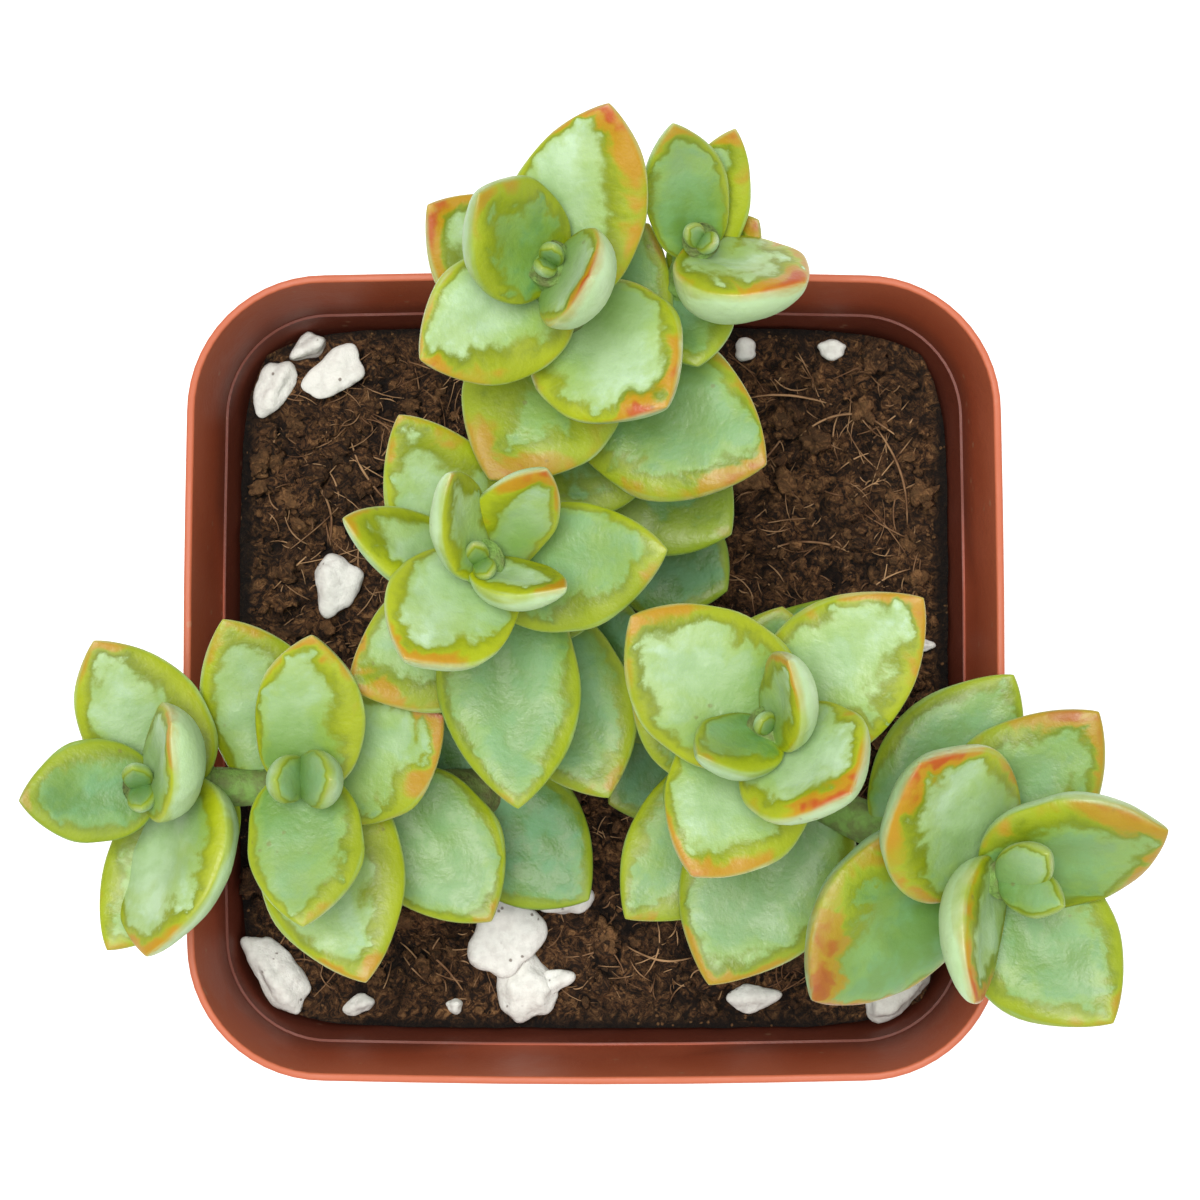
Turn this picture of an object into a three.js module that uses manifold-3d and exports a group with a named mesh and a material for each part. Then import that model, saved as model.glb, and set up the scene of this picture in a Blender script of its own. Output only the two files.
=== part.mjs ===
import * as THREE from 'three';
import { mergeVertices } from 'three/addons/utils/BufferGeometryUtils.js';
import Module from 'manifold-3d';

// Crassula rupestris in a small square nursery pot. Millimetres, +Z up.
// The origin is the middle of the pot's underside. +X is to the right and +Y to the back
// for someone who looks straight down on the plant.

// Gap kept between pieces that touch
const CLEARANCE = 0.3;

// Detail finer than this is dropped where solids are joined
const JOIN_TOLERANCE = 0.01;

// Pot
const RIM_WIDTH = 57;
const RIM_DEPTH = 56.4;
const POT_HEIGHT = 50;
const RIM_CORNER = 9.6;
const CORNER_TIGHTENING = 1.1;
const SIDE_BOW = 0.25;
const COLLAR_HEIGHT = 9;
const WALL = 0.8;
const LIP_WIDTH = 0.56;
const LEDGE_BELOW_RIM = 8;
const FLOOR = 1.2;
const WALL_SLOPE = 0.16;
const LEDGE = 0.2;
const LEDGE_DROP = 0.1;
const COLLAR_SLOPE = 0.163;
const BASE_CHAMFER = 0.8;
const LIP_ROUND = 0.18;
const DRAIN_DIAMETER = 4;
const DRAIN_OFFSET = 11.5;

// Soil
const SOIL_TOP = 39.3;
const SOIL_DOME = 1.1;
const SOIL_BUMP = 0.32;
const SOIL_RINGS = 7;
// Low waves of the soil: turns a millimetre along x and along y, phase, share of the bump
const SOIL_WAVES = [
  [1.1, 0.6, 0, 0.5],
  [0.7, -1.3, 1, 0.5],
  [1.9, 1.7, 2, 0.3],
];
// Swellings of a perlite lump along x, y and z: turns, phase for each lump, height
const PERLITE_SWELLS = [
  [7, 3, 0.12],
  [9, 5, 0.1],
  [8, 1, 0.08],
];

// Stems
const FOOT_DEPTH = 12;
const STEM_SIDES = 6;
const STEM_STEPS = 6;

// Leaf form, as shares of its length or width
const HEEL = 0.08;
const WIDEST = 0.46;
const HEEL_FULLNESS = 2.6;
const TIP_FULLNESS = 2.0;
const TIP_SHARPNESS = 0.86;
const BLADE_TOP = 0.08;
const BLADE_KEEL = 0.3;
const YOUNG_KEEL = 0.44;
const YOUNG_LENGTH = 6.5;
const OLD_LENGTH = 12;
const BUD_TOP = 0.24;
const BUD_KEEL = 0.42;
const BLADE_SAG = 0.05;
const TOP_ROUNDING = 0.6;
const KEEL_ROUNDING = 0.7;
const KEEL_AT_ROOT = 1.08;
const KEEL_TAPER = 0.3;
const LEAF_STATIONS = [0.06, 0.26, 0.48, 0.73, 0.92];
const BUD_STATIONS = [0.08, 0.4, 0.8];
const SECTION_ANGLES = [0, 45, 90, 135, 180, 240, 300];
const BUD_WIDTH = 4.2;

// The stems. route: four control points of the stem's curve, from the soil or the parent
// stem to its tip. leaves: place along the stem from 0 to 1, heading on the plan,
// rise above the level, length, width, and turn about the leaf's own length in degrees.
const PLANT = {
  stem_back: [
    {
      radius: 1.6,
      rooted: true,
      route: [[3.6, 5.2, 40], [3.6, 9, 54], [-1.2, 21.5, 66], [-2.7, 25, 82]],
      leaves: [
        [1.0, 70, 72, 2.4, 1.6, 0],
        [1.0, 235, 70, 2.2, 1.5, 0],
        [0.97, 138, 48, 8.4, 7.4, -12],
        [0.97, 335, 68, 7.0, 6.4, 0],
        [0.92, 73, 25, 12.0, 8.4, 0],
        [0.92, 210, 18, 10.0, 8.2, 12],
        [0.85, 144, 20, 11.0, 8.2, 0],
        [0.85, 315, 22, 9.6, 9.6, 0],
        [0.76, 238, 10, 10.4, 9.8, 0],
        [0.76, 58, 14, 9.0, 8.4, 0],
        [0.68, 333, 12, 13.2, 10.8, 0],
        [0.68, 150, 8, 8.0, 8.0, 0],
        [0.59, 255, 8, 7.4, 9.0, 0],
        [0.59, 75, 10, 8.0, 8.0, 0],
        [0.5, 325, 8, 10.0, 9.6, 0],
        [0.5, 150, 5, 7.6, 8.0, 0],
        [0.38, 60, 5, 7.6, 8.0, 0],
        [0.38, 245, 5, 6.0, 8.0, 0],
        [0.27, 330, 6, 7.6, 8.6, 0],
        [0.27, 150, 5, 7.0, 8.0, 0],
      ],
    },
    {
      radius: 1.2,
      route: [[0.4, 17, 67], [3.6, 22, 69], [6.4, 26, 70], [6.6, 27, 77]],
      leaves: [
        [1.0, 150, 62, 2.2, 1.5, 0],
        [1.0, 330, 66, 2.2, 1.5, 0],
        [0.92, 104, 38, 9.0, 5.4, -10],
        [0.92, 338, 30, 8.0, 8.8, 52],
        [0.8, 72, 28, 9.2, 4.6, 0],
        [0.66, 38, 20, 6.4, 5.4, 0],
        [0.66, 280, 12, 5.6, 6.0, 0],
      ],
    },
  ],
  stem_middle: [
    {
      radius: 1.5,
      rooted: true,
      route: [[-0.6, -0.6, 40], [-2, 0, 54], [-6, 5.5, 62], [-7, 7.2, 77]],
      leaves: [
        [1.0, 110, 60, 2.2, 1.5, 0],
        [1.0, 300, 60, 2.2, 1.5, 0],
        [0.98, 108, 48, 8.2, 5.0, -50],
        [0.98, 343, 36, 6.8, 4.6, 55],
        [0.94, 56, 40, 9.2, 5.4, -25],
        [0.94, 230, 36, 9.2, 8.2, -8],
        [0.88, 159, 27, 10.8, 6.0, -35],
        [0.88, 8, 15, 11.6, 8.2, 0],
        [0.8, 120, 16, 13.0, 8.0, 0],
        [0.76, 274, 8, 14.0, 9.2, 0],
        [0.69, 207, 9, 12.0, 8.8, 0],
        [0.68, 35, 8, 7.4, 8.0, 0],
        [0.55, 295, 5, 12.6, 9.4, 0],
        [0.55, 125, 8, 7.4, 8.0, 0],
        [0.42, 10, 8, 7.0, 8.4, 0],
        [0.42, 200, 8, 8.0, 8.4, 0],
        [0.29, 105, 5, 7.0, 7.6, 0],
      ],
    },
  ],
  stem_left: [
    {
      radius: 1.7,
      rooted: true,
      route: [[-2.5, -8.8, 40], [-6, -8.5, 50], [-13, -7.5, 54], [-20.5, -7.2, 60.5]],
      leaves: [
        [0.95, 115, 13, 12.6, 8.6, 0],
        [0.95, 288, 8, 13.8, 9.8, 0],
        [0.7, 308, 5, 11.4, 9.2, 0],
        [0.7, 128, 8, 8.0, 8.4, 0],
        [0.42, 318, 2, 11.0, 9.4, 0],
        [0.42, 140, 8, 7.4, 8.0, 0],
        [0.24, 225, 6, 8.4, 8.6, 0],
      ],
    },
    {
      radius: 1.3,
      route: [[-18, -7.4, 58.5], [-18.8, -7.2, 61.5], [-18.9, -6.8, 65], [-18.8, -6.6, 67.5]],
      leaves: [
        [1.0, 175, 66, 4.0, 3.2, 0],
        [1.0, 5, 62, 4.8, 3.8, 0],
        [0.8, 85, 24, 10.4, 7.2, 0],
        [0.8, 271, 20, 9.8, 7.6, 0],
        [0.36, 28, 14, 10.2, 8.6, 0],
      ],
    },
    {
      radius: 1.3,
      route: [[-19, -7.3, 59.6], [-25, -7.4, 60], [-28.5, -7.2, 59.5], [-29.6, -7.1, 65.5]],
      leaves: [
        [1.0, 95, 62, 3.0, 2.0, 0],
        [1.0, 290, 62, 3.0, 2.0, 0],
        [0.93, 186, 18, 8.4, 6.8, 0],
        [0.93, 60, 52, 8.0, 7.4, 55],
        [0.66, 118, 16, 11.4, 8.4, 0],
        [0.66, 261, 16, 11.6, 10.6, -44],
        [0.45, 238, 6, 12.8, 7.8, 0],
      ],
    },
  ],
  stem_right: [
    {
      radius: 1.6,
      rooted: true,
      route: [[9, -3, 39.3], [9.6, -5, 52], [11.6, -5.6, 64], [10.9, -3.1, 76]],
      leaves: [
        [1.0, 140, 70, 2.4, 1.6, 0],
        [0.98, 80, 55, 7.6, 5.4, 60],
        [0.98, 197, 41, 6.4, 5.0, -35],
        [0.94, 140, 15, 11.8, 9.8, 0],
        [0.94, 323, 48, 8.6, 8.8, 8],
        [0.87, 43, 12, 13.4, 9.2, 0],
        [0.87, 240, 15, 10.2, 9.4, 0],
        [0.76, 155, 10, 9.6, 9.0, 0],
        [0.62, 80, 6, 9.6, 9.0, 0],
        [0.62, 245, 6, 9.0, 9.0, 0],
        [0.32, 45, 4, 14.0, 9.6, 0],
        [0.2, 145, 6, 10.4, 9.4, 0],
        [0.2, 210, 4, 9.8, 9.0, 0],
        [0.2, 320, 6, 7.6, 8.0, 0],
      ],
    },
    {
      radius: 1.4,
      route: [[10.4, -4.6, 56], [14, -9, 57], [24.5, -12, 58], [26.2, -12.8, 71]],
      leaves: [
        [1.0, 40, 50, 4.6, 3.4, 0],
        [1.0, 335, 42, 4.8, 3.2, 0],
        [0.95, 254, 36, 9.8, 7.4, 60],
        [0.95, 17, 24, 11.6, 9.2, -36],
        [0.87, 124, 42, 11.4, 10.6, -10],
        [0.87, 310, 11, 13.0, 10.4, 0],
        [0.78, 48, 11, 13.4, 9.4, 0],
        [0.78, 222, 12, 13.6, 11.6, 32],
        [0.58, 56, 5, 13.2, 9.0, 0],
        [0.58, 285, 4, 8.0, 8.0, 0],
        [0.26, 243, 5, 14.6, 11.2, 0],
        [0.12, 226, 2, 14.2, 9.8, 0],
      ],
    },
  ],
};

// Perlite lumps. Each lobe: x, y, height of its middle over the soil, then its three
// diameters and its heading on the plan.
const PERLITE = {
  perlite_01: [[-23.4, 21.2, 0.3, 3.6, 2.6, 1.8, 60]],
  perlite_02: [[-21.0, 24.2, 0.2, 2.8, 2.0, 1.8, 30]],
  perlite_03: [[-19.0, 22.2, 1.2, 4.6, 2.8, 1.6, 35]],
  perlite_04: [[11.0, 23.9, 0.4, 2.0, 1.6, 1.6, 0]],
  perlite_05: [[17.4, 24.0, 0.0, 2.4, 1.3, 1.5, 0]],
  perlite_06: [[-18.8, 6.7, 0.6, 4.4, 3.2, 2.6, 80]],
  perlite_07: [[24.2, 2.4, 0.2, 1.3, 1.1, 1.2, 0]],
  perlite_08: [[-23.2, -21.5, 0.8, 5.8, 3.0, 2.6, -54]],
  perlite_09: [[-17.2, -23.9, 0.3, 2.0, 1.5, 1.5, 20]],
  perlite_10: [[-10.2, -24.0, 0.1, 1.3, 1.0, 1.1, 0]],
  perlite_11: [
    [-6.5, -18.8, 0.7, 5.6, 4.8, 3.0, 60],
    [-5.1, -22.3, 0.6, 5.4, 3.6, 2.6, -70],
    [-2.9, -22.1, 0.5, 2.8, 2.0, 1.5, 20],
  ],
  perlite_12: [[-2.0, -16.0, 0.5, 4.2, 2.8, 2.2, 15]],
  perlite_13: [[11.6, -23.3, 0.4, 3.6, 2.2, 1.8, 5]],
  perlite_14: [[22.0, -22.9, 0.7, 5.2, 3.2, 2.4, 36]],
};

const COLOURS = {
  pot: { color: 0xa8573b, roughness: 0.5, metalness: 0 },
  soil: { color: 0x4a3524, roughness: 0.95, metalness: 0 },
  leafy: { color: 0xa9cc94, roughness: 0.5, metalness: 0 },
  perlite: { color: 0xe6e6de, roughness: 0.9, metalness: 0 },
};

const wasm = await Module();
wasm.setup();

// A closed mesh as a solid that can be joined and cut
function solidOf(geometry) {
  const bare = geometry.index ? geometry.clone() : geometry;
  bare.deleteAttribute('normal');
  bare.deleteAttribute('uv');
  const merged = mergeVertices(bare, 1e-5);
  return new wasm.Manifold(new wasm.Mesh({
    numProp: 3,
    vertProperties: new Float32Array(merged.attributes.position.array),
    triVerts: new Uint32Array(merged.index.array),
  }));
}

function geometryOf(solid) {
  const mesh = solid.getMesh();
  const geometry = new THREE.BufferGeometry();
  geometry.setAttribute('position', new THREE.BufferAttribute(mesh.vertProperties, 3));
  geometry.setIndex(new THREE.BufferAttribute(mesh.triVerts, 1));
  geometry.computeVertexNormals();
  return geometry;
}

// A skin over a row of rings with the same number of points, closed by a point at each end
function loft(rings, firstPoint, lastPoint) {
  const count = rings[0].length;
  const points = rings.flat();
  const faces = [];
  for (let ring = 0; ring + 1 < rings.length; ring += 1) {
    for (let i = 0; i < count; i += 1) {
      const a = ring * count + i;
      const b = ring * count + (i + 1) % count;
      faces.push(a, b, b + count, a, b + count, a + count);
    }
  }
  const first = points.push(firstPoint) - 1;
  const last = points.push(lastPoint) - 1;
  const lastRing = (rings.length - 1) * count;
  for (let i = 0; i < count; i += 1) {
    const next = (i + 1) % count;
    faces.push(first, next, i, last, lastRing + i, lastRing + next);
  }
  const geometry = new THREE.BufferGeometry().setFromPoints(points);
  geometry.setIndex(faces);
  return geometry;
}

// Plan of the pot at one level: a rounded rectangle whose long sides bow out a little
function potRing(inset, z) {
  const halfX = RIM_WIDTH / 2 - inset;
  const halfY = RIM_DEPTH / 2 - inset;
  const corner = Math.max(RIM_CORNER - inset * CORNER_TIGHTENING, 1);
  const stepsPerCorner = 4;
  const ring = [];
  for (let side = 0; side < 4; side += 1) {
    const middle = side * Math.PI / 2;
    const alongX = Math.round(Math.cos(middle));
    const alongY = Math.round(Math.sin(middle));
    ring.push(new THREE.Vector3(alongX * (halfX + SIDE_BOW), alongY * (halfY + SIDE_BOW), z));
    const signX = Math.sign(alongX - alongY);
    const signY = Math.sign(alongX + alongY);
    for (let step = 0; step <= stepsPerCorner; step += 1) {
      const angle = middle + step / stepsPerCorner * Math.PI / 2;
      ring.push(new THREE.Vector3(
        signX * (halfX - corner) + corner * Math.cos(angle),
        signY * (halfY - corner) + corner * Math.sin(angle),
        z,
      ));
    }
  }
  return ring;
}

// How far the inner wall stands in from the rim's outer edge at a height
function innerInset(z) {
  const below = POT_HEIGHT - z;
  const collar = LIP_WIDTH + COLLAR_SLOPE * Math.min(below, LEDGE_BELOW_RIM);
  if (below <= LEDGE_BELOW_RIM) {
    return collar;
  }
  return collar + LEDGE + WALL_SLOPE * (below - LEDGE_BELOW_RIM);
}

function potShell() {
  const step = COLLAR_HEIGHT + WALL_SLOPE;
  const ledgeZ = POT_HEIGHT - LEDGE_BELOW_RIM;
  const collarFoot = innerInset(ledgeZ) - WALL;
  const wallOutside = (z) => innerInset(Math.min(z, POT_HEIGHT - step)) - WALL;
  const profile = [
    [wallOutside(0) + BASE_CHAMFER, 0],
    [wallOutside(BASE_CHAMFER), BASE_CHAMFER],
    [wallOutside(POT_HEIGHT - step), POT_HEIGHT - step],
    [collarFoot, POT_HEIGHT - COLLAR_HEIGHT],
    [0, POT_HEIGHT - LIP_ROUND],
    [LIP_ROUND, POT_HEIGHT],
    [innerInset(POT_HEIGHT) - LIP_ROUND, POT_HEIGHT],
    [innerInset(POT_HEIGHT - LIP_ROUND), POT_HEIGHT - LIP_ROUND],
    [innerInset(ledgeZ), ledgeZ],
    [innerInset(ledgeZ) + LEDGE, ledgeZ - LEDGE_DROP],
    [innerInset(FLOOR + 1), FLOOR + 1],
    [innerInset(FLOOR) + 1, FLOOR],
  ];
  const rings = profile.map(([inset, z]) => potRing(inset, z));
  const centre = new THREE.Vector3(0, 0, 0);
  const floorCentre = new THREE.Vector3(0, 0, FLOOR);
  return solidOf(loft(rings, centre, floorCentre));
}

function pot() {
  let solid = potShell();
  for (let hole = 0; hole < 4; hole += 1) {
    const angle = Math.PI / 4 + hole * Math.PI / 2;
    const drain = new THREE.CylinderGeometry(
      DRAIN_DIAMETER / 2, DRAIN_DIAMETER / 2, 4 * FLOOR, 16,
    );
    drain.rotateX(Math.PI / 2);
    drain.translate(DRAIN_OFFSET * Math.cos(angle), DRAIN_OFFSET * Math.sin(angle), 0);
    solid = solid.subtract(solidOf(drain));
  }
  return solid;
}

// Height of the lumpy soil at a place
function soilHeight(x, y) {
  const reach = Math.min(1, Math.hypot(x / RIM_WIDTH, y / RIM_DEPTH) * 2);
  let waves = 0;
  for (const [alongX, alongY, phase, height] of SOIL_WAVES) {
    waves += Math.sin(alongX * x + alongY * y + phase) * height;
  }
  return SOIL_TOP + SOIL_DOME * (1 - reach * reach) + SOIL_BUMP * waves;
}

function soilBody() {
  const bottom = FLOOR + CLEARANCE;
  const wallGap = CLEARANCE + 0.05;
  const rings = [
    potRing(innerInset(bottom + 1) + wallGap + 1, bottom),
    potRing(innerInset(bottom + 1) + wallGap, bottom + 1),
  ];
  const edge = potRing(innerInset(SOIL_TOP) + wallGap, SOIL_TOP);
  for (let ring = 0; ring < SOIL_RINGS; ring += 1) {
    const share = 1 - ring / SOIL_RINGS;
    rings.push(edge.map((point) => {
      const x = point.x * share;
      const y = point.y * share;
      const z = ring === 0 ? SOIL_TOP : soilHeight(x, y);
      return new THREE.Vector3(x, y, z);
    }));
  }
  const under = new THREE.Vector3(0, 0, bottom);
  const middle = new THREE.Vector3(0, 0, soilHeight(0, 0));
  return solidOf(loft(rings, under, middle));
}

// Half of the leaf's width at a share of its length
function leafOutline(share) {
  if (share < WIDEST) {
    return Math.sqrt(1 - ((WIDEST - share) / WIDEST) ** HEEL_FULLNESS);
  }
  return (1 - ((share - WIDEST) / (1 - WIDEST)) ** TIP_FULLNESS) ** TIP_SHARPNESS;
}

// Depth of the underside as a share of the width: young leaves are the plumpest
function bladeKeel(length) {
  const age = THREE.MathUtils.clamp((length - YOUNG_LENGTH) / (OLD_LENGTH - YOUNG_LENGTH), 0, 1);
  return THREE.MathUtils.lerp(YOUNG_KEEL, BLADE_KEEL, age);
}

// One leaf with its root on the stem's middle line. Its upper face is nearly flat and its
// underside is a deep keel; grow adds the same all round.
function leaf(root, row, grow = 0) {
  const [, heading, rise, length, width, turn] = row;
  const isBud = width < BUD_WIDTH;
  const stations = isBud ? BUD_STATIONS : LEAF_STATIONS;
  const top = isBud ? BUD_TOP : BLADE_TOP;
  const keel = isBud ? BUD_KEEL : bladeKeel(length);
  const fullLength = length * (1 + HEEL);
  const middleLine = (share) => new THREE.Vector3(
    0,
    fullLength * share - HEEL * length + grow * (2 * share - 1),
    -BLADE_SAG * length * 4 * share * (1 - share),
  );
  const rings = stations.map((share) => {
    const middle = middleLine(share);
    const spread = leafOutline(share);
    const half = spread * width / 2 + grow;
    const up = top * width * spread ** TOP_ROUNDING + grow;
    const taper = KEEL_AT_ROOT - KEEL_TAPER * share;
    const down = keel * width * spread ** KEEL_ROUNDING * taper + grow;
    return SECTION_ANGLES.map((degrees) => {
      const angle = -THREE.MathUtils.degToRad(degrees);
      const height = Math.sin(angle) > 0 ? up : down;
      return new THREE.Vector3(
        half * Math.cos(angle),
        middle.y,
        middle.z + height * Math.sin(angle),
      );
    });
  });
  const geometry = loft(rings, middleLine(0), middleLine(1));
  const placed = new THREE.Object3D();
  placed.rotation.order = 'ZXY';
  placed.rotation.set(
    THREE.MathUtils.degToRad(rise),
    -THREE.MathUtils.degToRad(turn),
    THREE.MathUtils.degToRad(heading - 90),
  );
  placed.position.copy(root);
  placed.updateMatrix();
  geometry.applyMatrix4(placed.matrix);
  return solidOf(geometry);
}

// The largest body of a solid: a hollow that joining sealed is filled, a loose scrap dropped
function mainBody(solid) {
  return solid.decompose().reduce((largest, each) => (
    each.volume() > largest.volume() ? each : largest
  ));
}

function stemRoute(stem) {
  return new THREE.CubicBezierCurve3(...stem.route.map((point) => new THREE.Vector3(...point)));
}

function stemTube(stem, grow = 0) {
  const section = new THREE.Shape();
  section.absarc(0, 0, stem.radius + grow, 0, 2 * Math.PI);
  const tube = new THREE.ExtrudeGeometry(section, {
    steps: STEM_STEPS,
    curveSegments: STEM_SIDES,
    bevelEnabled: false,
    extrudePath: stemRoute(stem),
  });
  return solidOf(tube);
}

// The straight foot of a stem, down in the soil
function stemFoot(stem, grow = 0) {
  const [x, y, z] = stem.route[0];
  const length = FOOT_DEPTH + 1 + grow;
  const foot = new THREE.CylinderGeometry(
    stem.radius + grow, stem.radius + grow, length, STEM_SIDES,
  );
  foot.rotateX(Math.PI / 2);
  foot.translate(x, y, z + 1 - length / 2);
  return solidOf(foot);
}

function leafyStem(stems, grow = 0) {
  const solids = [];
  for (const stem of stems) {
    const route = stemRoute(stem);
    solids.push(stemTube(stem, grow));
    if (stem.rooted) {
      solids.push(stemFoot(stem, grow));
    }
    for (const row of stem.leaves) {
      solids.push(leaf(route.getPoint(row[0]), row, grow));
    }
  }
  const joined = solids.reduce((whole, solid) => whole.add(solid));
  return mainBody(joined.setTolerance(JOIN_TOLERANCE));
}

// One lobe of a perlite lump: a ball with a seeded uneven surface
function perliteLobe(lobe, seed, grow = 0) {
  const [x, y, over, length, breadth, height, heading] = lobe;
  const geometry = new THREE.IcosahedronGeometry(0.5, 1);
  const position = geometry.attributes.position;
  const point = new THREE.Vector3();
  for (let i = 0; i < position.count; i += 1) {
    point.fromBufferAttribute(position, i);
    let uneven = 1;
    PERLITE_SWELLS.forEach(([turns, phase, height], axis) => {
      uneven += height * Math.sin(turns * point.getComponent(axis) + phase * seed);
    });
    point.multiplyScalar(uneven);
    point.set(
      point.x * (length + 2 * grow),
      point.y * (breadth + 2 * grow),
      point.z * (height + 2 * grow),
    );
    position.setXYZ(i, point.x, point.y, point.z);
  }
  geometry.rotateZ(THREE.MathUtils.degToRad(heading));
  geometry.translate(x, y, soilHeight(x, y) + over);
  return solidOf(geometry);
}

function perliteLump(lobes, grow = 0) {
  return lobes
    .map((lobe, index) => perliteLobe(lobe, lobe[0] + index, grow))
    .reduce((joined, solid) => joined.add(solid));
}

function soil() {
  let solid = soilBody();
  for (const stems of Object.values(PLANT)) {
    for (const stem of stems.filter((each) => each.rooted)) {
      solid = solid.subtract(stemFoot(stem, CLEARANCE));
      solid = solid.subtract(stemTube(stem, CLEARANCE));
    }
  }
  for (const lobes of Object.values(PERLITE)) {
    solid = solid.subtract(perliteLump(lobes, CLEARANCE));
  }
  return solid;
}

const group = new THREE.Group();

function addPiece(name, solid, look) {
  const mesh = new THREE.Mesh(geometryOf(solid), new THREE.MeshStandardMaterial(look));
  mesh.name = name;
  group.add(mesh);
}

addPiece('pot', pot(), COLOURS.pot);
addPiece('soil', soil(), COLOURS.soil);

for (const [name, stems] of Object.entries(PLANT)) {
  addPiece(name, leafyStem(stems), COLOURS.leafy);
}

for (const [name, lobes] of Object.entries(PERLITE)) {
  addPiece(name, perliteLump(lobes), COLOURS.perlite);
}

export default group;
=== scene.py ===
import math
import random

import bmesh
import bpy
import numpy as np
from mathutils import Euler, Matrix, Vector, noise


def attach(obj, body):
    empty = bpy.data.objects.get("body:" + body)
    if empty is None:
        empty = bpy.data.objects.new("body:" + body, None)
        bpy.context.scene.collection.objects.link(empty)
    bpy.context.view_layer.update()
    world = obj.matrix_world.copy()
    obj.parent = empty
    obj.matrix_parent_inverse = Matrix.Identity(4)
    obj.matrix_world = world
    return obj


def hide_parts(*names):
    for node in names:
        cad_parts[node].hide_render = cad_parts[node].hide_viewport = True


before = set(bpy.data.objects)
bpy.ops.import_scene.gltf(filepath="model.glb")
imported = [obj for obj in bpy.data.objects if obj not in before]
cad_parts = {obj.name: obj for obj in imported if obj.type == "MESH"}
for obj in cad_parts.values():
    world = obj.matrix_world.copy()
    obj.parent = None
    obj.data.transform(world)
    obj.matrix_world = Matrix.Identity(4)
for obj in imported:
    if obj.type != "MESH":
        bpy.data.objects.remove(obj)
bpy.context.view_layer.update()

# Crassula rupestris in a small square nursery pot, seen straight down. Sizes of the plant
# and the pot are in millimetres and become metres where a mesh is made.
MM = 0.001

# Pot
RIM_WIDTH = 57.0
RIM_DEPTH = 56.4
POT_HEIGHT = 50.0
RIM_CORNER = 9.6
CORNER_TIGHTENING = 1.1
LEAST_CORNER = 1.0
SIDE_BOW = 0.25
COLLAR_HEIGHT = 9.0
WALL = 0.8
LIP_WIDTH = 0.56
LEDGE_BELOW_RIM = 8.0
FLOOR = 1.2
WALL_SLOPE = 0.16
LEDGE = 0.2
COLLAR_SLOPE = 0.163
BASE_CHAMFER = 0.8
LIP_ROUND = 0.18
DRAIN_DIAMETER = 4.0
DRAIN_OFFSET = 11.5
# The dark inside, partly soil stain and partly painted shade: its share on the collar, how far
# down it deepens, and how far above the ledge that starts
STAIN_AND_SHADE_ON_COLLAR = 0.35
STAIN_AND_SHADE_DEPTH = 2.5
STAIN_AND_SHADE_RISE = 0.9

# Soil
SOIL_TOP = 39.3
SOIL_DOME = 1.1
SOIL_BUMP = 0.32
SOIL_BOTTOM = 1.5
WALL_GAP = 0.12
SOIL_GRID = 230
# Clods and crumbs, the painted shade in the gaps between them, and the painted shade on the
# soil's edge at the wall
CLOD_HEIGHT = 2.0
CLOD_SPACING = 3.1
CRUMB_SPACING = 1.0
GAP_LEVEL = -0.05
GAP_FADE = 0.8
SHADED_WALL_EDGE = 24.5

# Stems and leaves
FOOT_DEPTH = 12.0
HEEL = 0.08
WIDEST = 0.46
HEEL_FULLNESS = 2.6
TIP_FULLNESS = 2.0
TIP_SHARPNESS = 0.86
BLADE_TOP = 0.08
BLADE_KEEL = 0.30
YOUNG_KEEL = 0.44
YOUNG_LENGTH = 6.5
OLD_LENGTH = 12.0
BUD_TOP = 0.24
BUD_KEEL = 0.42
BUD_WIDTH = 4.2
BLADE_SAG = 0.05
TOP_ROUNDING = 0.6
KEEL_ROUNDING = 0.7
KEEL_AT_ROOT = 1.08
KEEL_TAPER = 0.3
LEAF_STATIONS = 36
LEAF_SIDES = 36
BARK_TOP = 54.0
BARK_FADE = 9.0

# Camera over the middle of the pot
CAMERA_HEIGHT = 280.0
FRAME_WIDTH_AT_RIM = 83.93
IMAGE_SIZE = 1200
POT_CENTRE_PX = (594, 678)
SENSOR = 36.0
NEAR_CLIP = 0.01
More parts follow.
